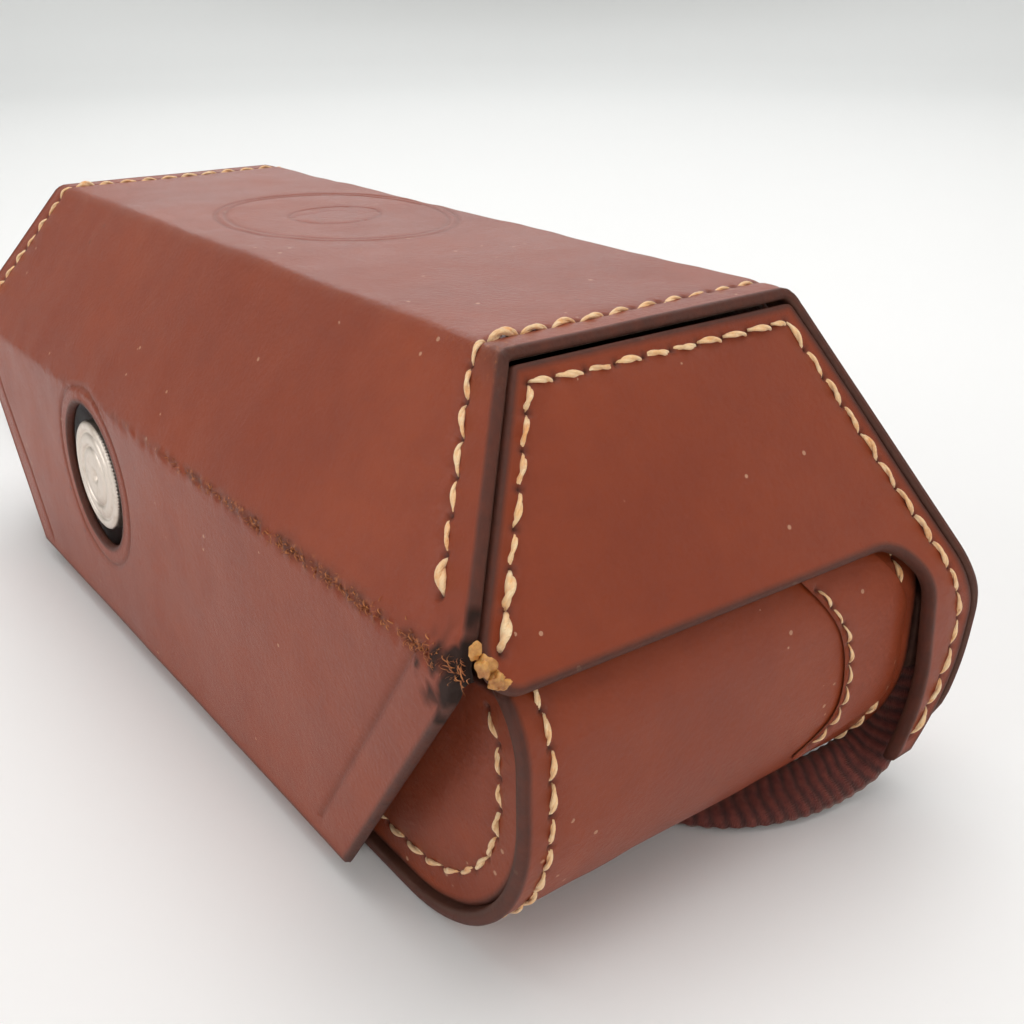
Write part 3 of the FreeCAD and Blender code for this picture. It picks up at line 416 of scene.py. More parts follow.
def leather_sheet(name, outline, place, body, material, thick=LEATHER, holes=(), step=1.9,
                  grooves=(), rows=(), relief=None, wear=None, edge_r=0.6, rough=0.1, folds=(), burnish=1.0):
    """A cut, bent and embossed sheet, with a pit at every needle hole.

    outline runs anticlockwise and holes clockwise, in flat (u, v); grooves are (line, half width, depth), and
    folds are the v at which the sheet bends sharply."""
    loops = [spaced(outline, EDGE_STEP, closed=True)] + [spaced(h, HOLE_STEP, closed=True) for h in holes]
    needles = np.vstack(rows) if len(rows) else np.zeros((0, 2))
    uv, tris = triangulate(loops, sheet_points(loops, step, grooves, needles, folds))
    u, v = uv.T
    rim = distance(uv, loops, True)
    drop = np.where(rim < edge_r, edge_r - np.sqrt(np.maximum(edge_r ** 2 - (edge_r - rim) ** 2, 0)), 0)
    height = waves(u, v, 27, 3) * rough + waves(u, v, 9, 4) * rough * 0.35
    height = height * np.clip(rim / 6, 0.25, 1) - drop
    height -= CREASER_DEPTH * np.exp(-((rim - CREASER_AT) / CREASER_WIDE) ** 2) * (edge_r > 0.3)
    pit, channel = needle_marks(uv, rows, needles)
    height -= PIT_DEPTH * pit + CHANNEL_DEPTH * channel
    pressed = np.zeros(len(uv))
    for line, half, depth in grooves:
        mark = np.exp(-(distance(uv, [line], False) / half) ** 2)
        height -= depth * mark
        pressed = np.maximum(pressed, mark)
    if relief is not None:
        height += relief(u, v)
    points, faces, on_border = sheet_shell(uv, tris, place, height, drop, thick)
    none, edge = np.zeros(len(uv)), np.zeros(len(on_border))
    rims = [np.exp(-(rim / reach) ** 2) for reach in (BURNISH_GRAIN, BURNISH_FLESH)]
    worn = none if wear is None else wear(u, v)
    attributes = {
        "rim": np.r_[rims[0], rims[1], edge + 1] * burnish,
        "pit": np.r_[np.clip(pit + 0.14 * channel, 0, 1), none, edge],
        "pressed": np.r_[pressed, none, edge],
        "flesh": np.r_[none, none + 1, edge + 0.15],
        "wear": np.r_[worn, none, worn[on_border]],
    }
    return make_mesh(name, points, faces, body, material, attributes)


# ================= stitching =================
THREAD_SIDES, THREAD_RINGS = 6, 10
THREAD_DIVE, HOLE_GAP = 0.72, 0.32
PLY_TURNS, PLY_APART, PLY_R = 0.7, 0.5, 0.86


def stitch_row(name, rows, place, body, material, radius=0.31, lift=0.0, slant=0.22, heavy=()):
    """Thread between needle holes: each stitch is two plies twisted together that dive into the leather."""
    t = np.linspace(0, 1, THREAD_RINGS)
    points, faces, tints = [], [], []
    for row in rows:
        for i, (a, b) in enumerate(zip(row, row[1:])):
            scale = 1.6 if i in [h % (len(row) - 1) for h in heavy] else rng.uniform(0.88, 1.12)
            along = (b - a) / max(np.linalg.norm(b - a), 1e-9)
            side = np.array([-along[1], along[0]])
            lean = slant * rng.uniform(0.6, 1.3)
            start = a + along * HOLE_GAP - side * lean
            end = b - along * HOLE_GAP + side * lean
            uv = start + (end - start) * t[:, None]
            uv = uv + side * (rng.uniform(-0.1, 0.1) * np.sin(math.pi * t))[:, None]
            p, n = place(uv[:, 0], uv[:, 1])
            arch = np.sin(math.pi * t) ** 0.6 * scale ** 0.5
            p = p + n * (lift - THREAD_DIVE + (THREAD_DIVE + rng.uniform(-0.06, 0.08)) * arch)[:, None]
            d = unit(np.gradient(p, axis=0))
            w = unit(np.cross(n, d))
            up = np.cross(d, w)
            phase = rng.uniform(0, 2 * math.pi)
            tint = rng.uniform(0, 1)
            thin = radius * scale * (0.74 + 0.26 * np.sin(math.pi * t))
            for ply in (0, math.pi):
                spin = phase + ply + 2 * math.pi * PLY_TURNS * t
                away = w * np.cos(spin)[:, None] + up * np.sin(spin)[:, None]
                core = p + away * (thin * PLY_APART)[:, None]
                faces += tube_faces(THREAD_RINGS, THREAD_SIDES, len(points))
                for k in range(THREAD_RINGS):
                    for q in range(THREAD_SIDES):
                        angle = 2 * math.pi * q / THREAD_SIDES
                        ring = w[k] * math.cos(angle) + up[k] * math.sin(angle)
                        points.append(core[k] + ring * thin[k] * PLY_R)
                tints += [tint] * (THREAD_RINGS * THREAD_SIDES)
    return make_mesh(name, points, faces, body, material, {"tint": tints})


# ================= materials =================
class Shader:
    """A node material under construction."""

    def __init__(self, name, **values):
        self.material = bpy.data.materials.new(name)
        self.material.use_nodes = True
        self.tree = self.material.node_tree
        self.bsdf = self.tree.nodes["Principled BSDF"]
        for key, value in values.items():
            self.put(self.bsdf.inputs[key.replace("_", " ")], value)
        self.place = self.node("ShaderNodeTexCoord").outputs["Object"]

    def node(self, kind, props=None, **inputs):
        """A new node; i0, i1 and so on are its inputs by number, and other names its inputs by name."""
        node = self.tree.nodes.new(kind)
        for key, value in (props or {}).items():
            setattr(node, key, value)
        for key, value in inputs.items():
            numbered = key[0] == "i" and key[1:].isdigit()
            self.put(node.inputs[int(key[1:]) if numbered else key], value)
        return node

    def put(self, socket, value):
        """Links a socket, or sets its value; a colour may leave out its alpha."""
        if isinstance(value, bpy.types.NodeSocket):
            self.tree.links.new(value, socket)
        elif socket.type == "RGBA" and len(value) == 3:
            socket.default_value = (*value, 1)
        else:
            socket.default_value = value

    def attribute(self, name):
        return self.node("ShaderNodeAttribute", {"attribute_name": name}).outputs["Fac"]

    def noise(self, scale, detail=3.0, rough=0.55):
        return self.node("ShaderNodeTexNoise", Vector=self.place, Scale=scale, Detail=detail,
                         Roughness=rough).outputs["Fac"]

    def cells(self, scale, feature="F1", where=None):
        return self.node("ShaderNodeTexVoronoi", {"feature": feature}, Vector=where or self.place,
                         Scale=scale).outputs["Distance"]

    def bands(self, scale, distortion, detail=2.0, where=None, direction="X"):
        return self.node("ShaderNodeTexWave", {"wave_type": "BANDS", "bands_direction": direction},
                         Vector=where or self.place, Scale=scale, Distortion=distortion,
                         Detail=detail).outputs["Fac"]

    def math(self, operation, a, b):
        return self.node("ShaderNodeMath", {"operation": operation}, i0=a, i1=b).outputs[0]

    def times(self, a, b):
        return self.math("MULTIPLY", a, b)

    def vector(self, operation, a, **inputs):
        """A vector sum; its output is a vector, or a value for a length or a dot product."""
        node = self.node("ShaderNodeVectorMath", {"operation": operation}, i0=a, **inputs)
        return node.outputs["Value" if operation in ("LENGTH", "DOT_PRODUCT") else "Vector"]

    def remap(self, value, low, high, to_low=0.0, to_high=1.0):
        return self.node("ShaderNodeMapRange", i0=value, i1=low, i2=high, i3=to_low, i4=to_high).outputs[0]

    def mix(self, factor, a, b):
        return self.node("ShaderNodeMix", {"data_type": "RGBA"}, i0=factor, i6=a, i7=b).outputs[2]

    def patches(self, noise, low, high, a, b):
        """Colour a where the noise is low, and b where it is high."""
        return self.mix(self.remap(noise, low, high), a, b)

    def bump(self, height, depth, strength, under=None):
        node = self.node("ShaderNodeBump", Height=height, Distance=depth, Strength=strength)
        if under is not None:
            self.put(node.inputs["Normal"], under)
        return node.outputs[0]

    def colour(self, value):
        self.put(self.bsdf.inputs["Base Color"], value)

    def roughness(self, value):
        self.put(self.bsdf.inputs["Roughness"], value)

    def uneven_roughness(self, noise, low, high):
        self.roughness(self.remap(noise, 0.3, 0.7, low, high))

    def normal(self, value):
        self.put(self.bsdf.inputs["Normal"], value)


LEATHER_BASE = (0.306, 0.0505, 0.0118)
LEATHER_DEEP = (0.249, 0.0375, 0.009)
LEATHER_STREAK = (0.18972, 0.02525, 0.005664)
LEATHER_RIM = (0.07, 0.02, 0.011)
LEATHER_SPECK, LEATHER_STAIN = (0.62, 0.34, 0.21), (0.07, 0.02, 0.012)
LEATHER_WORN, LEATHER_FLECK = (0.11, 0.03, 0.014), (0.6, 0.2, 0.06)
LEATHER_PRESSED, LEATHER_FLESH = (0.10, 0.028, 0.016), (0.2, 0.085, 0.045)
# Painted shade: the first colour darkens the needle holes, and the second is near black for the shaded gap
# where the near corner has torn open at the crease.
NEEDLE_HOLE_SHADE, TORN_GAP_SHADE = (0.04, 0.011, 0.006), (0.018, 0.007, 0.004)
LEATHER_ROUGHNESS = 0.345


def leather_material():
    """Vegetable-tanned saddle leather: mottled dye, pores, fine creases, burnished cut edges, scuffs, and
    painted shade in the needle holes and in the torn-open near corner at the crease.
    """
    s = Shader("saddle_leather", Coat_Weight=0.03, Coat_Roughness=0.28, Specular_IOR_Level=0.36)
    wear, rim, gap_shade = s.attribute("wear"), s.attribute("rim"), s.attribute("gap_shade")
    colour = s.patches(s.noise(28, 4, 0.6), 0.35, 0.68, LEATHER_DEEP, LEATHER_BASE)
    colour = s.mix(s.remap(s.noise(260, 5, 0.65), 0.42, 0.75, 0.0, 0.3), colour, LEATHER_STREAK)
    speck = s.times(s.math("LESS_THAN", s.cells(330), 0.1), s.math("GREATER_THAN", s.noise(75, 2), 0.59))
    colour = s.mix(s.times(speck, 0.7), colour, LEATHER_SPECK)
    stain = s.times(s.math("LESS_THAN", s.cells(150), 0.07), s.math("GREATER_THAN", s.noise(40, 2), 0.62))
    colour = s.mix(s.times(stain, 0.55), colour, LEATHER_STAIN)
    colour = s.mix(s.times(wear, 0.8), colour, LEATHER_WORN)
    fleck = s.times(wear, s.remap(s.noise(1100, 5, 0.75), 0.56, 0.62))
    colour = s.mix(s.times(fleck, 0.8), colour, LEATHER_FLECK)
    colour = s.mix(s.times(s.attribute("pressed"), 0.33), colour, LEATHER_PRESSED)
    colour = s.mix(s.remap(s.attribute("flesh"), 0.3, 0.8), colour, LEATHER_FLESH)
    edge = s.times(s.remap(rim, 0.15, 0.75), s.remap(s.noise(500, 5, 0.7), 0.2, 0.7, 0.7, 1.0))
    colour = s.mix(edge, colour, LEATHER_RIM)
    # Painted shade in the needle holes; the stitch channels come out a little darker too.
    colour = s.mix(s.times(s.attribute("pit"), 0.92), colour, NEEDLE_HOLE_SHADE)
    # Painted shade: near black where the near corner has torn open, for the gap's shade; the same mask makes
    # it rougher below.
    s.colour(s.mix(gap_shade, colour, TORN_GAP_SHADE))
    rough = s.remap(s.noise(60, 4, 0.6), 0.3, 0.7, LEATHER_ROUGHNESS - 0.05, LEATHER_ROUGHNESS + 0.07)
    scuff = s.times(wear, s.remap(s.noise(900, 6, 0.75), 0.42, 0.6))
    rough = s.math("ADD", rough, s.times(s.math("ADD", rim, scuff), 0.24))
    s.roughness(s.math("ADD", rough, s.times(gap_shade, 0.5)))
    grain = s.bump(s.cells(1500, "SMOOTH_F1"), 0.0001, 0.7)
    fine = s.bump(s.noise(2600, 4, 0.6), 0.00003, 0.6, grain)
    drift = s.node("ShaderNodeTexNoise", Vector=s.place, Scale=240.0).outputs["Color"]
    crease = s.cells(190, "DISTANCE_TO_EDGE", where=s.vector("ADD", s.place, i1=drift))
    lines = s.bump(s.remap(crease, 0.0, 0.06), 0.00008, 0.5, fine)
    s.normal(s.bump(s.noise(140, 3), 0.0004, 0.25, lines))
    return s.material


def thread_material():
    """Waxed linen: two tones of straw, paler and dirtier in places, with fine strands."""
    s = Shader("linen_thread", Roughness=0.62, Sheen_Weight=0.3)
    warm = s.mix(s.remap(s.attribute("tint"), 0, 1), (0.93, 0.54, 0.24), (0.86, 0.4, 0.14))
    pale = s.patches(s.noise(700, 4, 0.7), 0.35, 0.7, warm, (0.95, 0.72, 0.44))
    s.colour(s.mix(s.remap(s.noise(320, 4, 0.7), 0.55, 0.75, 0, 0.45), pale, (0.45, 0.19, 0.07)))
    s.normal(s.bump(s.bands(1900.0, 6.0), 0.00006, 0.7, s.bump(s.noise(3000, 3), 0.00005, 0.6)))
    return s.material


def webbing_material():
    """Dark red-brown woven strap, with painted shade in the valleys of its weave."""
    s = Shader("woven_webbing", Roughness=0.72, Sheen_Weight=0.35, Sheen_Roughness=0.45,
               Sheen_Tint=(1.0, 0.75, 0.65))
    tone = s.patches(s.noise(900, 4, 0.7), 0.35, 0.7, (0.10, 0.012, 0.007), (0.2, 0.034, 0.02))
    # Painted shade: the weave's valleys are darkened nearly to black.
    s.colour(s.mix(s.times(s.attribute("valley_shade"), 0.75), tone, (0.008, 0.002, 0.0015)))
    s.normal(s.bump(s.bands(1300.0, 8.0, 3.0), 0.00008, 0.6, s.bump(s.noise(2400, 4), 0.00006, 0.7)))
    return s.material


def metal_material(name, colour, rough, stain, amount):
    """Bare or plated metal with a patchy stain."""
    s = Shader(name, Metallic=1.0)
    s.colour(s.mix(s.remap(s.noise(120, 6, 0.7), 0.5, 0.72, 0.0, amount), colour, stain))
    s.uneven_roughness(s.noise(420, 5, 0.7), rough - 0.07, rough + 0.1)
    s.normal(s.bump(s.noise(1600, 4, 0.7), 0.00002, 0.5))
    return s.material


def enamel_material(name, colour, rough=0.38, crackle=900.0, depth=0.00008):
    """Crackle or stoved enamel over metal: darker in its cracks, paler where it is rubbed."""
    s = Shader(name, Coat_Weight=0.25, Coat_Roughness=0.2)
    cell = s.cells(crackle, "DISTANCE_TO_EDGE")
    tone = s.mix(s.remap(cell, 0.0, 0.12), tuple(c * 0.45 for c in colour), colour)
    s.colour(s.mix(s.remap(s.noise(60, 5, 0.7), 0.45, 0.75, 0, 0.25), tone, tuple(c * 1.5 for c in colour)))
    s.uneven_roughness(s.noise(300, 4), rough - 0.06, rough + 0.1)
    s.normal(s.bump(s.remap(cell, 0.0, 0.2), depth, 0.7))
    return s.material


def glass_material():
    """Lens glass with a faint violet coating."""
    s = Shader("coated_glass", Transmission_Weight=1.0, IOR=1.52, Roughness=0.02, Coat_Weight=0.4,
               Coat_Tint=(0.75, 0.7, 1.0))
    s.colour(s.patches(s.noise(90, 3), 0.3, 0.7, (0.93, 0.95, 0.98), (0.97, 0.95, 0.99)))
    return s.material


def film_material():
    """Wound film: its edges show as fine layers."""
    s = Shader("cine_film", Coat_Weight=0.5, Coat_Roughness=0.12)
    layers = s.bands(1500.0, 0.4, direction="Z")
    s.colour(s.patches(layers, 0.3, 0.7, (0.045, 0.034, 0.03), (0.10, 0.08, 0.065)))
    s.uneven_roughness(s.noise(300, 3), 0.22, 0.34)
    return s.material


def pile_material():
    """Short brushed pile."""
    s = Shader("pile_lining", Roughness=0.95, Sheen_Weight=0.9, Sheen_Roughness=0.35,
               Sheen_Tint=(0.95, 0.85, 0.8))
    pale, dark = (0.24, 0.085, 0.05), (0.13, 0.04, 0.025)
    tuft, nap = s.noise(1500, 5, 0.75), s.noise(70, 4, 0.6)
    s.colour(s.patches(tuft, 0.35, 0.68, s.patches(nap, 0.35, 0.7, dark, pale), pale))
    s.normal(s.bump(tuft, 0.0004, 0.9, s.bump(nap, 0.0008, 0.3)))
    return s.material


def dial_material():
    """Yellowed white dial paint."""
    s = Shader("dial_face", Coat_Weight=0.3)
    s.colour(s.patches(s.noise(160, 5, 0.7), 0.45, 0.75, (0.78, 0.76, 0.7), (0.66, 0.62, 0.54)))
    s.uneven_roughness(s.noise(500, 4), 0.32, 0.45)
    return s.material


saddle = leather_material()
thread = thread_material()
webbing = webbing_material()
pile = pile_material()
steel = metal_material("bright_steel", (0.56, 0.55, 0.54), 0.28, (0.22, 0.2, 0.18), 0.2)
FINISHES = {
    "nickel": metal_material("satin_nickel", (0.76, 0.69, 0.61), 0.30, (0.42, 0.33, 0.25), 0.35),
    "camera_enamel": enamel_material("crackle_enamel", (0.030, 0.030, 0.033)),
    "brass": metal_material("clock_brass", (0.76, 0.53, 0.24), 0.26, (0.38, 0.22, 0.09), 0.35),
    "steel": steel,
    "black_metal": enamel_material("black_metal", (0.020, 0.020, 0.022), 0.42, 2400.0, 0.00003),
    "dial_white": dial_material(),
    "lens_glass": glass_material(),
    "film": film_material(),
}


# ================= camera, floor and light =================
# Azimuth, elevation and roll in degrees; place and focal length in millimetres.
CAMERA_TURN = (53.4157859, 23.9826533, -0.494052262)
CAMERA_PLACE = (171.237514, -94.2845091, 106.296095)
CAMERA_LENS = 41.731


def set_camera():
    """The photograph's viewpoint."""
    azimuth, elevation, roll = (math.radians(a) for a in CAMERA_TURN)
    forward = Vector((-math.sin(azimuth) * math.cos(elevation), math.cos(azimuth) * math.cos(elevation),
                      -math.sin(elevation)))
    right = Vector((math.cos(azimuth), math.sin(azimuth), 0))
    up = right.cross(forward)
    turned_right = right * math.cos(roll) + up * math.sin(roll)
    turned_up = up * math.cos(roll) - right * math.sin(roll)
    data = bpy.data.cameras.new("camera")
    data.lens, data.sensor_width = CAMERA_LENS, 36.0
    data.clip_start, data.clip_end = 0.005, 20.0
    camera = bpy.data.objects.new("camera", data)
    axes = Matrix((turned_right, turned_up, -forward)).transposed().to_4x4()
    camera.matrix_world = Matrix.Translation(Vector(CAMERA_PLACE) * MM) @ axes
    bpy.context.scene.collection.objects.link(camera)
    bpy.context.scene.camera = camera


def set_floor():
    """A pale sweep: flat floor that curves up into a wall all round, with painted shade darkening it far from
    the middle and more towards -y.
    """
    points, faces = [], []
    sides, flat_r, wall_r, wall_top = 96, 1.3, 2.0, 3.0
    bend = wall_r - flat_r
    rings = [(0.0005, 0), (0.4, 0), (flat_r, 0)]
    for a in np.linspace(0.2, math.pi / 2, 7):
        rings.append((flat_r + bend * math.sin(a), bend * (1 - math.cos(a))))
    rings.append((wall_r, wall_top))
    for r, z in rings:
        points += [(r * math.cos(2 * math.pi * k / sides), r * math.sin(2 * math.pi * k / sides), z)
                   for k in range(sides)]
    for i in range(len(rings) - 1):
        for k in range(sides):
            a, b = i * sides + k, i * sides + (k + 1) % sides
            faces.append((a, b, b + sides, a + sides))
    faces.append(tuple(range(sides))[::-1])
    mesh = bpy.data.meshes.new("floor")
    mesh.from_pydata(points, [], faces)
    mesh.polygons.foreach_set("use_smooth", [True] * len(mesh.polygons))
    floor = bpy.data.objects.new("floor", mesh)
    bpy.context.scene.collection.objects.link(floor)
    s = Shader("pale_floor", Roughness=0.55, Specular_IOR_Level=0.25)
    paper = s.patches(s.noise(6, 3), 0.3, 0.7, (0.87, 0.865, 0.86), (0.88, 0.875, 0.868))
    flat = s.vector("MULTIPLY", s.place, i1=(1, 1, 0))
    # Painted shade: floor and wall grow darker away from the middle, for the light falling off.
    paper = s.mix(s.remap(s.vector("LENGTH", flat), 0.25, 1.2), paper, (0.775, 0.78, 0.768))
    # Painted shade: the floor far out and the wall towards -y are much darker, standing for a dimmer part of
    # the room that the leather reflects.
    toward = s.vector("DOT_PRODUCT", flat, i1=(-0.35, -0.94, 0))
    s.colour(s.mix(s.remap(toward, 0.7, 1.4), paper, (0.42, 0.41, 0.4)))
    mesh.materials.append(s.material)


def add_light(name, place, target, size, power, colour=(1, 1, 1)):
    """A soft box, with places and sizes in metres."""
    data = bpy.data.lights.new(name, "AREA")
    data.shape = "RECTANGLE"
    data.size, data.size_y = size
    data.energy, data.color = power, colour
    lamp = bpy.data.objects.new(name, data)
    lamp.location = place
    lamp.rotation_euler = (Vector(target) - Vector(place)).to_track_quat("-Z", "Y").to_euler()
    bpy.context.scene.collection.objects.link(lamp)


def set_light():
    """Even room light and four soft boxes."""
    world = bpy.data.worlds.new("studio")
    world.use_nodes = True
    world.node_tree.nodes["Background"].inputs[0].default_value = (0.96, 0.98, 1.0, 1)
    world.node_tree.nodes["Background"].inputs[1].default_value = 0.64
    bpy.context.scene.world = world
    add_light("overhead", (-0.1, 0.15, 1.25), (0, 0, 0), (1.5, 1.2), 9.6, (1.0, 0.985, 0.96))
    add_light("behind", (-1.05, 0.85, 0.75), (0, 0, 0.05), (1.3, 0.9), 4.5, (0.97, 0.98, 1.0))
    add_light("side", (-0.35, -1.3, 0.6), (0, 0, 0.03), (1.2, 0.8), 6.6)
    add_light("front", (1.35, -0.3, 0.85), (0.1, 0, 0.03), (1.1, 0.9), 4.9, (1.0, 0.985, 0.96))
    bpy.context.scene.view_settings.view_transform = "Standard"


set_camera()
set_floor()
set_light()


# ================= neck strap =================
STRAP_WIDTH, STRAP_THICK, STRAP_LENGTH = 8.0, 3.0, 1.04
RIB = 1.84
NEAR_ROUTE = [(88.4, 33.2, 21.0), (88.4, 33.2, 13.4), (88.2, 31.7, 7.2), (87.4, 26.4, 3.9),
              (85.6, 15.6, 3.0), (79.4, 5.4, 1.8), (66.0, -1.0, 1.55), (43.0, -4.0, 1.55),
              (17.0, -5.0, 1.55), (-9.0, -5.2, 1.55), (-35.0, -4.6, 1.55), (-60.0, -3.4, 1.55),
              (-82.0, -2.6, 1.55), (-97.0, -4.8, 2.6), (-109.0, -8.4, 4.1), (-121.0, -12.6, 4.1),
              (-132.5, -16.8, 4.1)]
FAR_ROUTE = [(-88.4, 33.2, 21.0), (-88.4, 33.2, 17.0), (-89.6, 33.2, 13.0), (-90.8, 30.0, 10.6),
             (-94.6, 27.0, 10.4), (-99.2, 28.8, 11.2), (-104.6, 35.8, 12.4), (-112.6, 46.2, 12.6)]
# The way the strap's width points at each of those places.
NEAR_WIDTH = [(1, 0, 0), (1, 0, 0), (0.93, 0, -0.3), (0.72, 0, -0.69), (0.87, -0.1, -0.45),
              (0.7, -0.7, -0.12), (0.3, -0.95, 0)] + [(0, -1, 0)] * 5
NEAR_WIDTH += [(0, -1, 0.05), (0, -0.75, 0.6)] + [(0, 0, 1)] * 3
FAR_WIDTH = [(-1, 0, 0), (-1, 0, 0), (-0.9, 0.1, 0.3), (-0.3, 0.2, 0.9)] + [(0, 0, 1)] * 4


# The coil: its middle, outer radius, narrowing and climb, and its turning in degrees.
COIL_X, COIL_Y, COIL_Z = -149.0, 29.0, 4.1
COIL_R, COIL_NARROWS, COIL_CLIMB = 48.6, 9.4, 8.5
COIL_START, COIL_TURNED, COIL_POINTS = 84.0, 956.0, 38


def coil_route():
    """The put-away turns: the strap stands on edge in a loose round coil, and its end climbs over them."""
    points = []
    for k in range(COIL_POINTS):
        along = k / (COIL_POINTS - 1)
        turned = math.radians(COIL_START + COIL_TURNED * along)
        r = COIL_R - COIL_NARROWS * along + 0.25 * math.sin(1.7 * turned)
        climb = max(k - COIL_POINTS + 5, 0) / 4
        z = COIL_Z + COIL_CLIMB * climb
        points.append((COIL_X + r * math.cos(turned), COIL_Y - r * math.sin(turned), z))
    return points


def smooth_path(route):
    """Closely spaced points along a smooth curve that follows a route."""
    curve = bpy.data.curves.new("strap_line", "CURVE")
    curve.dimensions = "3D"
    curve.resolution_u = 44
    spline = curve.splines.new("NURBS")
    spline.points.add(len(route) - 1)
    for point, place in zip(spline.points, route):
        point.co = [c * MM for c in place] + [1.0]
    spline.order_u = 3
    spline.use_endpoint_u = True
    line = bpy.data.objects.new("strap_line", curve)
    bpy.context.scene.collection.objects.link(line)
    read = bpy.data.meshes.new_from_object(line)
    path = np.array([v.co for v in read.vertices]) / MM
    bpy.data.objects.remove(line)
    bpy.data.meshes.remove(read)
    return path


def lengths_at(route, path, run):
    """Length along a path where it passes each point of its route."""
    at = []
    last = 0
    for key in np.array(route):
        window = path[last:last + 160]
        last += int(np.argmin(((window - key) ** 2).sum(1)))
        at.append(run[last])
    return np.maximum.accumulate(np.array(at) + np.arange(len(at)) * 1e-6)


def make_strap():
    """Woven flat strap: one route from the near keeper, under the case, round the coil to the far keeper."""
    coil = coil_route()
    route = NEAR_ROUTE + coil + FAR_ROUTE[::-1]
    widths = NEAR_WIDTH + [(0, 0, 1)] * len(coil) + FAR_WIDTH[::-1]
    path = smooth_path(route)
    run = np.r_[0, np.cumsum(np.linalg.norm(np.diff(path, axis=0), axis=1))]
    key_at = lengths_at(route, path, run)
    count = int(run[-1] / (RIB / 5))
    at = np.linspace(0, run[-1], count)
    centre = columns_at(at, run, path)
    tangent = unit(np.gradient(centre, axis=0))
    wide = columns_at(at, key_at, widths)
    wide = unit(wide - tangent * (wide * tangent).sum(1)[:, None])
    face = np.cross(tangent, wide)
    across = np.array([-1, -0.86, -0.6, -0.3, 0, 0.3, 0.6, 0.86, 1, 0.86, 0.6, 0.3, 0, -0.3, -0.6, -0.86])
    skin = np.array([0, 0.62, 0.9, 1, 1, 1, 0.9, 0.62, 0, -0.62, -0.9, -1, -1, -1, -0.9, -0.62])
    points = np.zeros((count, len(across), 3))
    valley_shade = np.zeros((count, len(across)))
    for k, (w, t) in enumerate(zip(across, skin)):
        phase = 2 * math.pi * (at / RIB + 0.42 * abs(w) + (0.25 if t < 0 else 0))
        rise = 0.5 + 0.5 * np.cos(phase)
        half_t = STRAP_THICK / 2 * (0.8 + 0.2 * rise)
        half_w = STRAP_WIDTH / 2 * (0.955 + 0.045 * rise)
        points[:, k] = centre + wide * (w * half_w)[:, None] + face * (t * half_t)[:, None]
        # Painted shade: how deep each point lies in the weave's valleys, for darkening them.
        valley_shade[:, k] = (1 - rise) ** 1.5
    faces = tube_faces(count, len(across))
    strap = make_mesh("neck_strap", points.reshape(-1, 3), faces, "case", webbing,
                      {"valley_shade": valley_shade.ravel()})
    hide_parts("strap_near_run", "strap_coil", "strap_far_run")


make_strap()


# ================= leather case =================
def shifted(corners, depth):
    """Open (a, b, radius) corners moved to the right of travel, which is their inside."""
    p = [(a, b) for a, b, _ in corners]
    moved = inset(p, -depth, closed=False)
    return [(a, b, max(r - depth, 0)) for (a, b), (_, _, r) in zip(moved, corners)]


END_TOP_Z, WRAP_LOW_Z = 76.0, FLAP_LOW_Z - 0.4
SKIRT_CORNER_R, TEAR_REACH = 9.0, 4.5
COVER_CORNERS = [(CREASE_Y, CREASE_Z, 0), (-COVER_TOP_Y, COVER_TOP_Z, FOLD_R),
                 (COVER_TOP_Y, COVER_TOP_Z, FOLD_R), (WIDEST_Y, WIDEST_Z, WIDEST_R), (SKIRT_Y, SKIRT_Z, 0)]
WRAP_CORNERS = [(CREASE_Y, WRAP_LOW_Z, 0), (CREASE_Y, CREASE_Z, 1.3)] + COVER_CORNERS[1:]
END_CORNERS = [(COVER_TOP_X - END_SLOPE * (END_TOP_Z - COVER_TOP_Z), END_TOP_Z, 0),
               (EAR_X, COVER_TOP_Z - (EAR_X - COVER_TOP_X) / END_SLOPE, EAR_R), (EAR_X, -4.0, 0)]
BAND_HALF = [(BAND_LIP_X, BAND_LIP_Z, 0), (BAND_X, BAND_SHOULDER_Z, BAND_SHOULDER_R),
             (BAND_X, 0.0, BAND_FOOT_R)]
BAND_CORNERS = BAND_HALF + [(-x, z, r) for x, z, r in BAND_HALF[::-1]]
wrap_line = Profile(WRAP_CORNERS, 0.3)
end_line = Profile(END_CORNERS, 0.3)
panel_line = Profile(shifted(END_CORNERS, 0.15), 0.3)
band_line = Profile(BAND_CORNERS, 0.6)
CREASE_S = wrap_line.length_at(1, CREASE_Z)
TOP_S0 = wrap_line.length_at(0, -COVER_TOP_Y)
TOP_S1 = wrap_line.length_at(0, COVER_TOP_Y)
TOP_MIDDLE_S = wrap_line.length_at(0, 0.0)


def end_reach(z):
    """Half length of the cover at a height."""
    return np.interp(-np.asarray(z, float), -end_line.p[:, 1], end_line.p[:, 0])


def flap_reach(z):
    """Half length of the flap at a height."""
    return FLAP_LOW_X + (z - FLAP_LOW_Z) * (CREASE_X - FLAP_LOW_X) / (CREASE_Z - FLAP_LOW_Z)


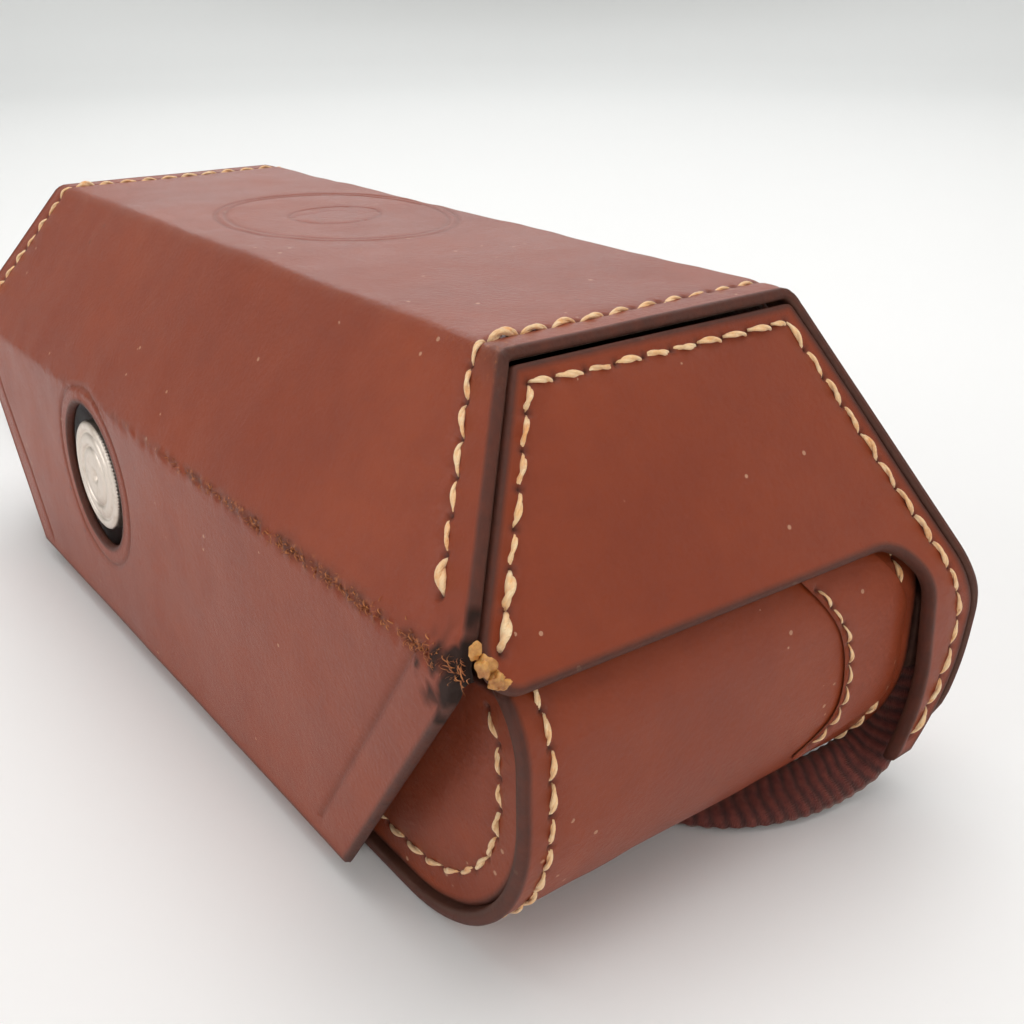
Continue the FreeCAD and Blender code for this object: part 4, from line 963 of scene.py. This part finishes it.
def wrap_outline():
    """Flat cut of the flap and cover in one piece, anticlockwise, with ragged leather at the torn corner."""
    s = np.r_[np.linspace(0, CREASE_S, 24), np.linspace(CREASE_S + 0.5, wrap_line.total, 150)]
    p, _ = wrap_line.at(s)
    reach = np.where(s < CREASE_S, flap_reach(p[:, 1]), end_reach(p[:, 1]))
    right = np.stack([reach, s], 1)
    from_tear = np.abs(s - CREASE_S) / TEAR_REACH
    bite = rng.uniform(0.1, 1.5, len(s)) * (1 - from_tear)
    right[from_tear < 1, 0] -= bite[from_tear < 1]
    skirt = right[-1, 0]
    cut = wrap_line.total - SKIRT_CORNER_R
    corner = [(skirt - SKIRT_CORNER_R * (1 - math.cos(a)), cut + SKIRT_CORNER_R * math.sin(a))
              for a in np.linspace(0, math.pi / 2, 9)]
    right = np.vstack([right[right[:, 1] < cut], corner])
    left = np.stack([-reach, s], 1)[::-1]
    left = left[left[:, 1] < cut]
    return np.vstack([right, [(-x, v) for x, v in corner[::-1]], left]), right, left[::-1]


def rim_row(edge, depth, low, high, side):
    """Needle holes beside a sheet's cut edge, between two lengths."""
    line = inset(edge, depth * side, closed=False)
    line = line[(line[:, 1] > low) & (line[:, 1] < high)]
    return spaced(line, STITCH_PITCH)


def oval(cx, cy, rx, ry, count=120):
    """Closed line round an oval, with its first point again at its end."""
    angles = 2 * math.pi * np.arange(count + 1) / count
    return np.stack([cx + rx * np.cos(angles), cy + ry * np.sin(angles)], 1)


def round_hole(cx, cy, r, count):
    """Clockwise loop of a round hole."""
    return oval(cx, cy, r, r, count)[:-1][::-1]


def crease_wear(u, v):
    """Scuffing along the crease, strongest over its near half and at the torn corner, and on the folds."""
    along = np.clip((u + 60) / 110, 0.12, 1) ** 1.5
    ragged = 1 + 0.7 * waves(u, v * 0 + 1, 5, 21) + 0.4 * waves(u, v, 1.6, 22)
    crease = np.exp(-((v - CREASE_S - 0.4) / (0.35 + 0.6 * along)) ** 2) * along * np.clip(ragged, 0, 2)
    corner = np.exp(-(((u - COVER_TOP_X) ** 2 + (v - TOP_S0) ** 2) / 14))
    folds = 0.16 * (np.exp(-((v - TOP_S0) / 1.2) ** 2) + np.exp(-((v - TOP_S1) / 1.2) ** 2))
    return np.clip(crease * 0.8 + corner * 0.7 + folds, 0, 1)


def crease_relief(u, v):
    """The worn crease is rough, and the leather bulges a little beside it."""
    near = np.exp(-((v - CREASE_S) / 0.8) ** 2) * np.clip((u + 70) / 120, 0.1, 1)
    bulge = 0.35 * np.exp(-((v - CREASE_S - 7) / 5) ** 2) * np.sin(math.pi * np.clip((u + 90) / 180, 0, 1))
    return -near * (0.35 + 0.3 * waves(u, v, 2.4, 31)) + bulge


OUTER_OVAL, INNER_OVAL = (24.6, 18.6), (22.9, 17.0)
IRIS_R, BLADE_R0, BLADE_R1 = 7.5, 3.2, 7.4


def emblem_lines(cx, cy):
    """Two stamped ovals round a small lens iris of six blades."""
    lines = [(oval(cx, cy, *OUTER_OVAL), 0.34, 0.3), (oval(cx, cy, *INNER_OVAL), 0.34, 0.26),
             (oval(cx, cy, IRIS_R, IRIS_R, 60), 0.3, 0.2)]
    for k in range(6):
        a = math.pi * k / 3
        b = a + math.pi / 3 + 0.25
        inner = (cx + BLADE_R0 * math.cos(a), cy + BLADE_R0 * math.sin(a))
        outer = (cx + BLADE_R1 * math.cos(b), cy + BLADE_R1 * math.sin(b))
        lines.append((spaced([inner, outer], 0.8), 0.26, 0.16))
    return lines


RIM_ROW, PANEL_ROW, FLAP_LINE = 4.9, 2.4, 7.0
EMBLEM_X, EMBLEM_BEYOND = -9.0, 3.0
# Centre and reach of the painted shade over the torn-open corner.
GAP_SHADE_PLACE, GAP_SHADE_R = (88.5, CREASE_Y + 0.5, CREASE_Z - 1), 5.2


def blend_at_crease(piece):
    """Bakes the piece's placement into its mesh; it is not joined to the flap or the cover."""
    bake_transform(piece)


def make_cover():
    """Cover and flap: one sheet from the flap's lower edge, over the top, to the snap side."""
    outline, right, left = wrap_outline()
    place = curled_ear(across_x(wrap_line))
    hole_v = KNOB_Z - WRAP_LOW_Z
    hole = round_hole(KNOB_X, hole_v, FLAP_HOLE_R, 90)
    ring_r = FLAP_HOLE_R + 3.2
    edge = right[right[:, 1] < CREASE_S - 3]
    lines = [oval(KNOB_X, hole_v, ring_r, ring_r, 110), inset(edge, FLAP_LINE, closed=False),
             inset((edge * [-1, 1])[::-1], FLAP_LINE, closed=False)]
    grooves = [(line, 0.5, 0.3) for line in lines] + emblem_lines(EMBLEM_X, TOP_MIDDLE_S + EMBLEM_BEYOND)
    low, high = CREASE_S + 5.5, wrap_line.total - SKIRT_CORNER_R
    rows = [rim_row(right, RIM_ROW, low, high, 1), rim_row(left, RIM_ROW, low, high, -1)]
    wrap = leather_sheet("cover_and_flap", outline, place, None, saddle, thick=RIM_THICK, holes=[hole],
                         step=2.0, grooves=grooves, rows=rows, relief=crease_relief, wear=crease_wear,
                         folds=(CREASE_S, TOP_S0, TOP_S1))
    # Painted shade: a dark, ragged spot over the torn-open near corner at the crease, standing for the shaded
    # gap there.
    gap_shade = wrap.data.attributes.new("gap_shade", "FLOAT", "POINT")
    co = np.array([v.co for v in wrap.data.vertices]) / MM
    spot = np.linalg.norm((co - GAP_SHADE_PLACE) * [1, 0.8, 0.8], axis=1)
    spot += 1.6 * waves(co[:, 0], co[:, 2], 3.0, 41)
    gap_shade.data.foreach_set("value", np.clip((GAP_SHADE_R - spot) / 1.6, 0, 0.96).astype(np.float32))
    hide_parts("cover_wrap", "cover_flap", "leather_folds")
    blend_at_crease(wrap)
    for row, name in zip(rows, ("near", "far")):
        corner = int(np.argmin(np.abs(row[:, 1] - TOP_S0)))
        stitch_row("rim_stitches_" + name, [row], place, "cover", thread, heavy=(0, corner))


make_cover()


def unrolled(profile, pairs):
    """Flat (across, length) places of points given as (across, height) on a bent sheet."""
    pairs = np.array(pairs, float)
    return np.stack([pairs[:, 0], np.interp(-pairs[:, 1], -profile.p[:, 1], profile.lengths)], 1)


def inset_into(loop, line, depth):
    """A line beside a loop's edge, moved into the loop and cut to the part that lies inside it."""
    both = [inset(line, side * depth, closed=False) for side in (1, -1)]
    line = max(both, key=lambda moved: inside(moved, loop).sum())
    return line[inside(line, loop)]


def make_end_panel(side, name):
    """End of the cover: the sloped panel, its ear past the strap slot, and its row of stitches."""
    z_low = SKIRT_Z + 0.6
    edge = spaced(Profile(shifted(COVER_CORNERS, RIM_THICK + 0.05), 0.5).p, 0.5)
    edge = edge[edge[:, 1] > z_low]
    start = edge[edge[:, 0] > -36.3]
    mouth = rounded([(-28.1, 60.0, 0), (-39.8, PANEL_LOW_Z + 0.6, 3.5), (SLOT_TOP_Y, PANEL_LOW_Z, SLOT_R),
                     (SLOT_FOOT_Y - 0.2, z_low, 0)], 0.8, closed=False)[1:]
    flat = anticlockwise(unrolled(panel_line, np.vstack([start[::-1], mouth])))
    place = curled_ear(across_y(panel_line, side))
    edge = spaced(edge, 0.5)
    sewn = edge[(edge[:, 1] > 9.5) & ((edge[:, 0] > -30) | (edge[:, 1] > 46.6))]
    line = inset_into(flat, unrolled(panel_line, sewn), PANEL_ROW)
    row = spaced(line[distance(line, [flat], True) > 0.8 * PANEL_ROW], STITCH_PITCH)
    panel = leather_sheet("end_panel_" + name, flat, place, "cover", saddle, step=1.7, rows=[row], edge_r=0.4,
                          relief=lambda u, v: 0.12 * waves(u, v, 45, 51))
    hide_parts("cover_end_panel_" + name)
    heavy = (0, 1) if row[0][0] < 0 else (len(row) - 2, len(row) - 3)
    stitch_row("panel_stitches_" + name, [row], place, "cover", thread, heavy=heavy)


make_end_panel(1, "near")
make_end_panel(-1, "far")


def hollowed(points, normals):
    """Lifts the band's underside into the moulded hollow."""
    along = (points[:, 1] - HOLLOW_Y) / HOLLOW_HALF
    floor = HOLLOW_RISE * np.clip(1 - along ** 2, -0.3, 1)
    lift = np.maximum(floor - points[:, 2], 0)
    soft = (points[:, 2] < floor + 1.5) & (normals[:, 2] < -0.3) & (np.abs(along) < 1)
    points, normals = points.copy(), normals.copy()
    points[:, 2] += lift * (normals[:, 2] < 0)
    normals[:, 1] -= soft * 2 * HOLLOW_RISE * along / HOLLOW_HALF
    return points, unit(normals)


BAND_ROW, SIDE_ROW, SIDE_TOP_Z = 3.6, 4.2, 43.5


def make_case_back():
    """The band round the case back with its two rows, and the two side panels sewn inside it."""
    place = across_y(band_line, 1, hollowed)
    total = band_line.total
    outline = rounded([(BAND_Y0, 0, 3), (BAND_Y1, 0, 3), (BAND_Y1, total, 3), (BAND_Y0, total, 3)])
    rows = [spaced([(y, 5.0), (y, total - 5.0)], STITCH_PITCH)
            for y in (BAND_Y0 + BAND_ROW, BAND_Y1 - BAND_ROW)]
    band = leather_sheet("band", outline, place, "case", saddle, step=2.3, rows=rows)
    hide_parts("case_band")
    stitch_row("band_stitches", rows, place, "case", thread, heavy=(0,))
    inner = Profile(shifted(BAND_CORNERS, LEATHER + 0.05), 0.8).p
    low = inner[inner[:, 1] < SIDE_TOP_Z]
    loop = anticlockwise(low * [-1, 1])
    along = inset_into(loop, low, SIDE_ROW)
    along = along[along[:, 1] < 40]
    for y, facing, name, node in ((SIDE_Y0, -1, "lower", "case_side_panel_lower"),
                                  (BAND_Y1 - 0.2, 1, "upper", "case_side_panel_upper")):
        row = spaced(along, STITCH_PITCH)
        holes = [round_hole(KNOB_X, KNOB_Z, 3.4, 24)] if facing < 0 else []
        spot = flat_y(y, facing)
        sheet = leather_sheet("side_panel_" + name, loop, spot, "case", saddle, holes=holes, step=2.4,
                              rows=[row])
        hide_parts(node)
        stitch_row("side_stitches_" + name, [row], spot, "case", thread, radius=0.32)


make_case_back()


KEEPER_PROUD, KEEPER_THICK, KEEPER_PITCH, KEEPER_CURL_Y = 0.65, 0.6, 3.3, 25.5
# The keeper's sewn curve and its free edge, as (y, z) on the end of the band.
KEEPER_SEWN = [(10.1, 40.8), (12.4, 38.0), (14.3, 35.3), (15.8, 32.8), (16.8, 30.5), (17.5, 28.2),
               (17.8, 25.8), (17.9, 21.9), (17.5, 18.9), (16.4, 16.8), (14.4, 14.8), (11.6, 12.8)]
KEEPER_FREE = [(12.4, 12.4), (16.3, 14.0), (21.7, 15.8), (26.0, 17.2), (29.4, 18.0), (30.5, 20.4),
               (30.7, 24.0), (30.0, 29.0), (27.8, 34.4), (25.0, 38.6), (21.0, 42.0)]


def make_keeper(side, name):
    """Sewn leather keeper that the strap's end tab sits under; its free edge curls in round the corner."""
    line = Profile(shifted(BAND_CORNERS[:4], -KEEPER_PROUD), 0.5)

    def curled(points, normals):
        curl = np.clip((points[:, 1] - KEEPER_CURL_Y) / 7, 0, 2)
        points = points.copy()
        points[:, 0] -= side * 3.0 * curl ** 2
        return points, unit(normals + np.stack([0 * curl, 0.9 * curl, 0 * curl], 1))

    edge = [(y - 0.75, z) for y, z in KEEPER_SEWN] + KEEPER_FREE
    loop = spaced(unrolled(line, edge), 1.2, closed=True)
    for _ in range(3):
        loop = 0.25 * np.roll(loop, 1, 0) + 0.5 * loop + 0.25 * np.roll(loop, -1, 0)
    loop = anticlockwise(loop)
    place = across_y(line, side, curled)
    row = spaced(unrolled(line, KEEPER_SEWN), KEEPER_PITCH)
    row = row[inside(row, loop)]
    patch = leather_sheet("keeper_" + name, loop, place, "case", saddle, thick=KEEPER_THICK, step=1.5,
                          rows=[row], edge_r=0.25, burnish=0.15)
    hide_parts("strap_keeper_" + name)
    stitch_row("keeper_stitches_" + name, [row], place, "case", thread, radius=0.17, lift=0.1, slant=0.12)


TAB_X, TAB_HALF, TAB_Y, TAB_THICK = 87.8, 4.3, 34.75, 3.2
TAB_Z0, TAB_Z1 = 20.6, 33.2


def make_tab(side, name):
    """Riveted leather tab that holds the strap's end under the keeper."""
    x, z0, z1 = side * TAB_X, TAB_Z0, TAB_Z1
    x0, x1 = x - TAB_HALF, x + TAB_HALF
    loop = rounded([(x0, z0, 1.2), (x1, z0, 1.2), (x1, z1, 3), (x0, z1, 3)], 0.6)
    place = flat_y(TAB_Y, 1)
    row = [spaced([(x - 2.6, z0 + 2.4), (x + 2.6, z0 + 2.4)], 2.6)]
    tab = leather_sheet("strap_tab_" + name, loop, place, "case", saddle, thick=TAB_THICK, step=1.2, rows=row,
                        edge_r=0.5)
    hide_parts("strap_tabs")
    stitch_row("tab_stitches_" + name, row, place, "case", thread, radius=0.2, lift=0.1, slant=0.1)


for maker in (make_keeper, make_tab):
    maker(1, "near")
    maker(-1, "far")


def make_hinge_strip():
    """Leather strip that joins the flap's lower edge to the case back, glued inside the flap."""
    line = Profile([(BAND_Y0 + 0.1, 0.12, 0), (-38.2, 0.12, 2.6), (-38.2, 10.5, 0)], 0.3)
    loop = rounded([(-55.8, 0, 1), (55.8, 0, 1), (55.8, line.total, 3), (-55.8, line.total, 3)])
    strip = leather_sheet("lower_hinge", loop, across_x(line), None, saddle, thick=1.6, step=2.6, edge_r=0.5,
                          folds=(5.0,))
    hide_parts("hinge_strip")
    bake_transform(strip)


make_hinge_strip()


def make_linings():
    """Short pile inside the case back and the cover."""
    line = Profile(shifted(BAND_CORNERS, LEATHER + 0.05), 0.8)
    a, b = line.length_at(1, 44.0), line.length_at(1, 44.0, last=True)
    y0, y1 = SIDE_Y0 + 2.2, BAND_Y1 - 2.4
    loop = rounded([(y0, a, 1), (y1, a, 1), (y1, b, 1), (y0, b, 1)])

    def lifted(points, normals):
        points, normals = hollowed(points - [0, 0, LEATHER], normals)
        return points + [0, 0, LEATHER], normals

    nap = leather_sheet("case_pile", loop, across_y(line, 1, lifted), "case", pile,
                        thick=LINING, step=2.6, edge_r=0.3)
    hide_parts("case_lining")
    line = Profile(shifted(COVER_CORNERS, LEATHER + 0.05), 0.5)
    s = np.linspace(3.6, line.total - 7, 90)
    p, _ = line.at(s)
    reach = end_reach(p[:, 1] + LEATHER) - PANEL_INSET - LEATHER - 0.5
    loop = np.vstack([np.stack([reach, s], 1), np.stack([-reach, s], 1)[::-1]])
    nap = leather_sheet("cover_pile", loop, across_x(line), "cover", pile, thick=LINING,
                        step=2.6, edge_r=0.3)
    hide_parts("cover_lining")


make_linings()


# ================= wear at the crease =================
FIBRES, FIBRE_RINGS, FIBRE_SIDES = 460, 5, 3


def make_fibres():
    """Torn leather fibres standing along the near half of the crease, and at the torn corner."""
    place = across_x(wrap_line)
    points, faces, tints = [], [], []
    for _ in range(FIBRES):
        near = rng.uniform() ** 0.5
        u = 8 + 82.0 * near
        v = CREASE_S + 0.3 + rng.normal() * (0.22 + 0.42 * near)
        length = rng.uniform(0.3, 0.85) + 1.0 * near * rng.uniform() ** 2
        heading = rng.uniform(0, 2 * math.pi)
        step = np.array([math.cos(heading), math.sin(heading)]) * length
        t = np.linspace(0, 1, FIBRE_RINGS)
        curl = rng.uniform(-0.5, 0.5) * length
        side = np.array([-step[1], step[0]]) / length
        uv = np.array([u, v]) + step * t[:, None] + side * curl * (t ** 2)[:, None]
        p, n = place(uv[:, 0], uv[:, 1])
        rise = rng.uniform(0.1, 0.75)
        p = p + n * (-0.45 + rise * np.sin(math.pi * t * 0.8))[:, None]
        thin = rng.uniform(0.05, 0.11)
        faces += tube_faces(FIBRE_RINGS, FIBRE_SIDES, len(points))
        for k in range(FIBRE_RINGS):
            r = thin * (1.1 - 0.9 * t[k])
            for q in range(FIBRE_SIDES):
                angle = 2 * math.pi * q / FIBRE_SIDES
                points.append(p[k] + np.array([math.sin(angle), math.cos(angle), math.sin(angle)]) * r)
        tints += [rng.uniform(0, 1)] * (FIBRE_RINGS * FIBRE_SIDES)
    s = Shader("leather_fibre")
    s.colour(s.mix(s.attribute("tint"), (0.62, 0.23, 0.07), (0.30, 0.085, 0.03)))
    s.uneven_roughness(s.noise(900, 3), 0.7, 0.9)
    blend_at_crease(make_mesh("crease_fibres", points, faces, None, s.material, {"tint": tints}))


def lump(centre, size, seed, rings=14, sides=20):
    """Points round a small lumpy form."""
    r = np.random.default_rng(seed)
    swells = [(r.normal(size=3) * 2.6, r.uniform(0, 6)) for _ in range(7)]
    points = []
    for i in range(1, rings):
        polar = math.pi * i / rings
        for k in range(sides):
            turn = 2 * math.pi * k / sides
            wide = math.sin(polar)
            d = np.array([wide * math.cos(turn), wide * math.sin(turn), math.cos(polar)])
            reach = 1 + 0.35 * sum(math.sin(w @ d * 1.4 + a) for w, a in swells) / 4
            points.append(np.array(centre) + d * np.array(size) * reach)
    return points, tube_faces(rings - 1, sides)


GLUE_LUMPS = [((90.9, -38.0, 46.3), (0.9, 0.9, 1.2), 5), ((91.5, -37.2, 44.9), (0.7, 0.9, 0.8), 6),
              ((89.9, -38.5, 47.9), (0.5, 0.6, 1.0), 7), ((91.2, -36.4, 44.0), (0.6, 0.9, 0.5), 8)]


def make_glue():
    """Old yellowed glue that shows where the near corner has torn open."""
    s = Shader("old_glue", Roughness=0.45, Subsurface_Weight=0.15, Subsurface_Scale=0.001)
    s.colour(s.patches(s.noise(500, 5, 0.7), 0.35, 0.65, (0.66, 0.34, 0.09), (0.34, 0.12, 0.03)))
    s.normal(s.bump(s.noise(900, 4), 0.0003, 0.7))
    points, faces = [], []
    for centre, size, seed in GLUE_LUMPS:
        more, new_faces = lump(centre, size, seed)
        faces += [tuple(i + len(points) for i in f) for f in new_faces]
        points += more
    make_mesh("old_glue", points, faces, "cover", s.material)


make_fibres()
make_glue()


# ================= tripod knob =================
KNURLS, KNURL_DEPTH = 90, 0.28
# The knob's outline as (radius, y), from its edge by the case to the dimple in its face.
KNOB_OUTLINE = [(9.2, -33.8), (9.5, -34.1), (9.5, -39.1), (9.35, -39.4), (9.0, -39.62), (8.5, -39.7),
                (8.1, -39.68), (7.85, -39.45), (7.6, -39.25), (7.35, -39.45), (7.1, -39.7), (6.3, -39.78),
                (5.6, -39.78), (5.42, -39.5), (5.2, -39.35), (4.98, -39.5), (4.8, -39.76), (3.6, -39.8),
                (1.9, -39.8), (1.35, -39.7), (0.9, -39.3), (0.4, -39.0), (0.12, -38.95)]


def make_knob():
    """Coin knob: straight knurling, raised rim, two turned grooves and a dimple, satin nickel."""
    sides = 4 * KNURLS
    points = []
    for r, y in KNOB_OUTLINE:
        knurl = KNURL_DEPTH if r > 9.3 and -39.2 < y < -34 else 0.0
        for k in range(sides):
            angle = 2 * math.pi * k / sides
            reach = r - knurl * (0, 0.55, 1, 0.55)[k % 4]
            points.append((KNOB_X + reach * math.cos(angle), y, KNOB_Z + reach * math.sin(angle)))
    faces = tube_faces(len(KNOB_OUTLINE), sides)
    s = Shader("turned_nickel", Metallic=1.0)
    centred = s.vector("SUBTRACT", s.place, i1=(KNOB_X * MM, 0, KNOB_Z * MM))
    radius = s.vector("LENGTH", s.vector("MULTIPLY", centred, i1=(1, 0, 1)))
    rings = s.bands(1600.0, 1.5, where=s.node("ShaderNodeCombineXYZ", X=radius).outputs[0])
    tarnish = s.remap(s.noise(260, 6, 0.75), 0.5, 0.7, 0, 0.5)
    s.colour(s.mix(tarnish, (0.74, 0.655, 0.575), (0.49, 0.38, 0.29)))
    s.uneven_roughness(s.noise(700, 5, 0.7), 0.34, 0.5)
    s.normal(s.bump(rings, 0.00001, 0.4, s.bump(s.noise(1500, 4), 0.00002, 0.4)))
    knob = make_mesh("coin_knob", points, faces, "knob", s.material)
    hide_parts("tripod_knob")


make_knob()


# ================= release button's spring =================
BUTTON_X, BUTTON_Y, SPRING_FOOT, SPRING_HEAD = 50.0, 2.0, 36.4, 42.8
SPRING_R, WIRE_R, SPRING_PITCH = 2.5, 0.35, 1.8


def make_button_spring():
    """Return spring of the release button, standing still from its foot to its head."""
    x, y, foot, head = BUTTON_X, BUTTON_Y, SPRING_FOOT, SPRING_HEAD
    rings, sides = 240, 8
    t = np.linspace(0, 1, rings)
    angle = 2 * math.pi * (head - foot) / SPRING_PITCH * t
    out = np.stack([np.cos(angle), np.sin(angle), 0 * t], 1)
    core = out * SPRING_R + np.stack([0 * t + x, 0 * t + y, foot + (head - foot) * t], 1)
    points = []
    for k in range(rings):
        for q in range(sides):
            turn = 2 * math.pi * q / sides
            ring = out[k] * math.cos(turn) + np.array([0, 0, math.sin(turn)])
            points.append(core[k] + ring * WIRE_R)
    spring = make_mesh("button_spring", points, tube_faces(rings, sides), None, steel)
    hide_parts("release_spring")
    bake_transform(spring)


make_button_spring()


# ================= finishes of the parts that keep their CAD shape =================
def finish_cad_nodes():
    """Gives the nodes that aren't replaced their finish, and softens their edges."""
    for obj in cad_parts.values():
        slot = obj.material_slots[0].material.name.split(".")[0] if obj.material_slots else ""
        if slot not in FINISHES:
            continue
        for holder in obj.material_slots:
            holder.material = FINISHES[slot]
        weld = obj.modifiers.new("weld", "WELD")
        weld.merge_threshold = 0.000002
        bevel = obj.modifiers.new("edge", "BEVEL")
        bevel.width = 0.00012 if slot in ("brass", "steel", "film") else 0.0002
        bevel.segments = 2
        bevel.limit_method = "ANGLE"
        bevel.angle_limit = math.radians(40)


finish_cad_nodes()
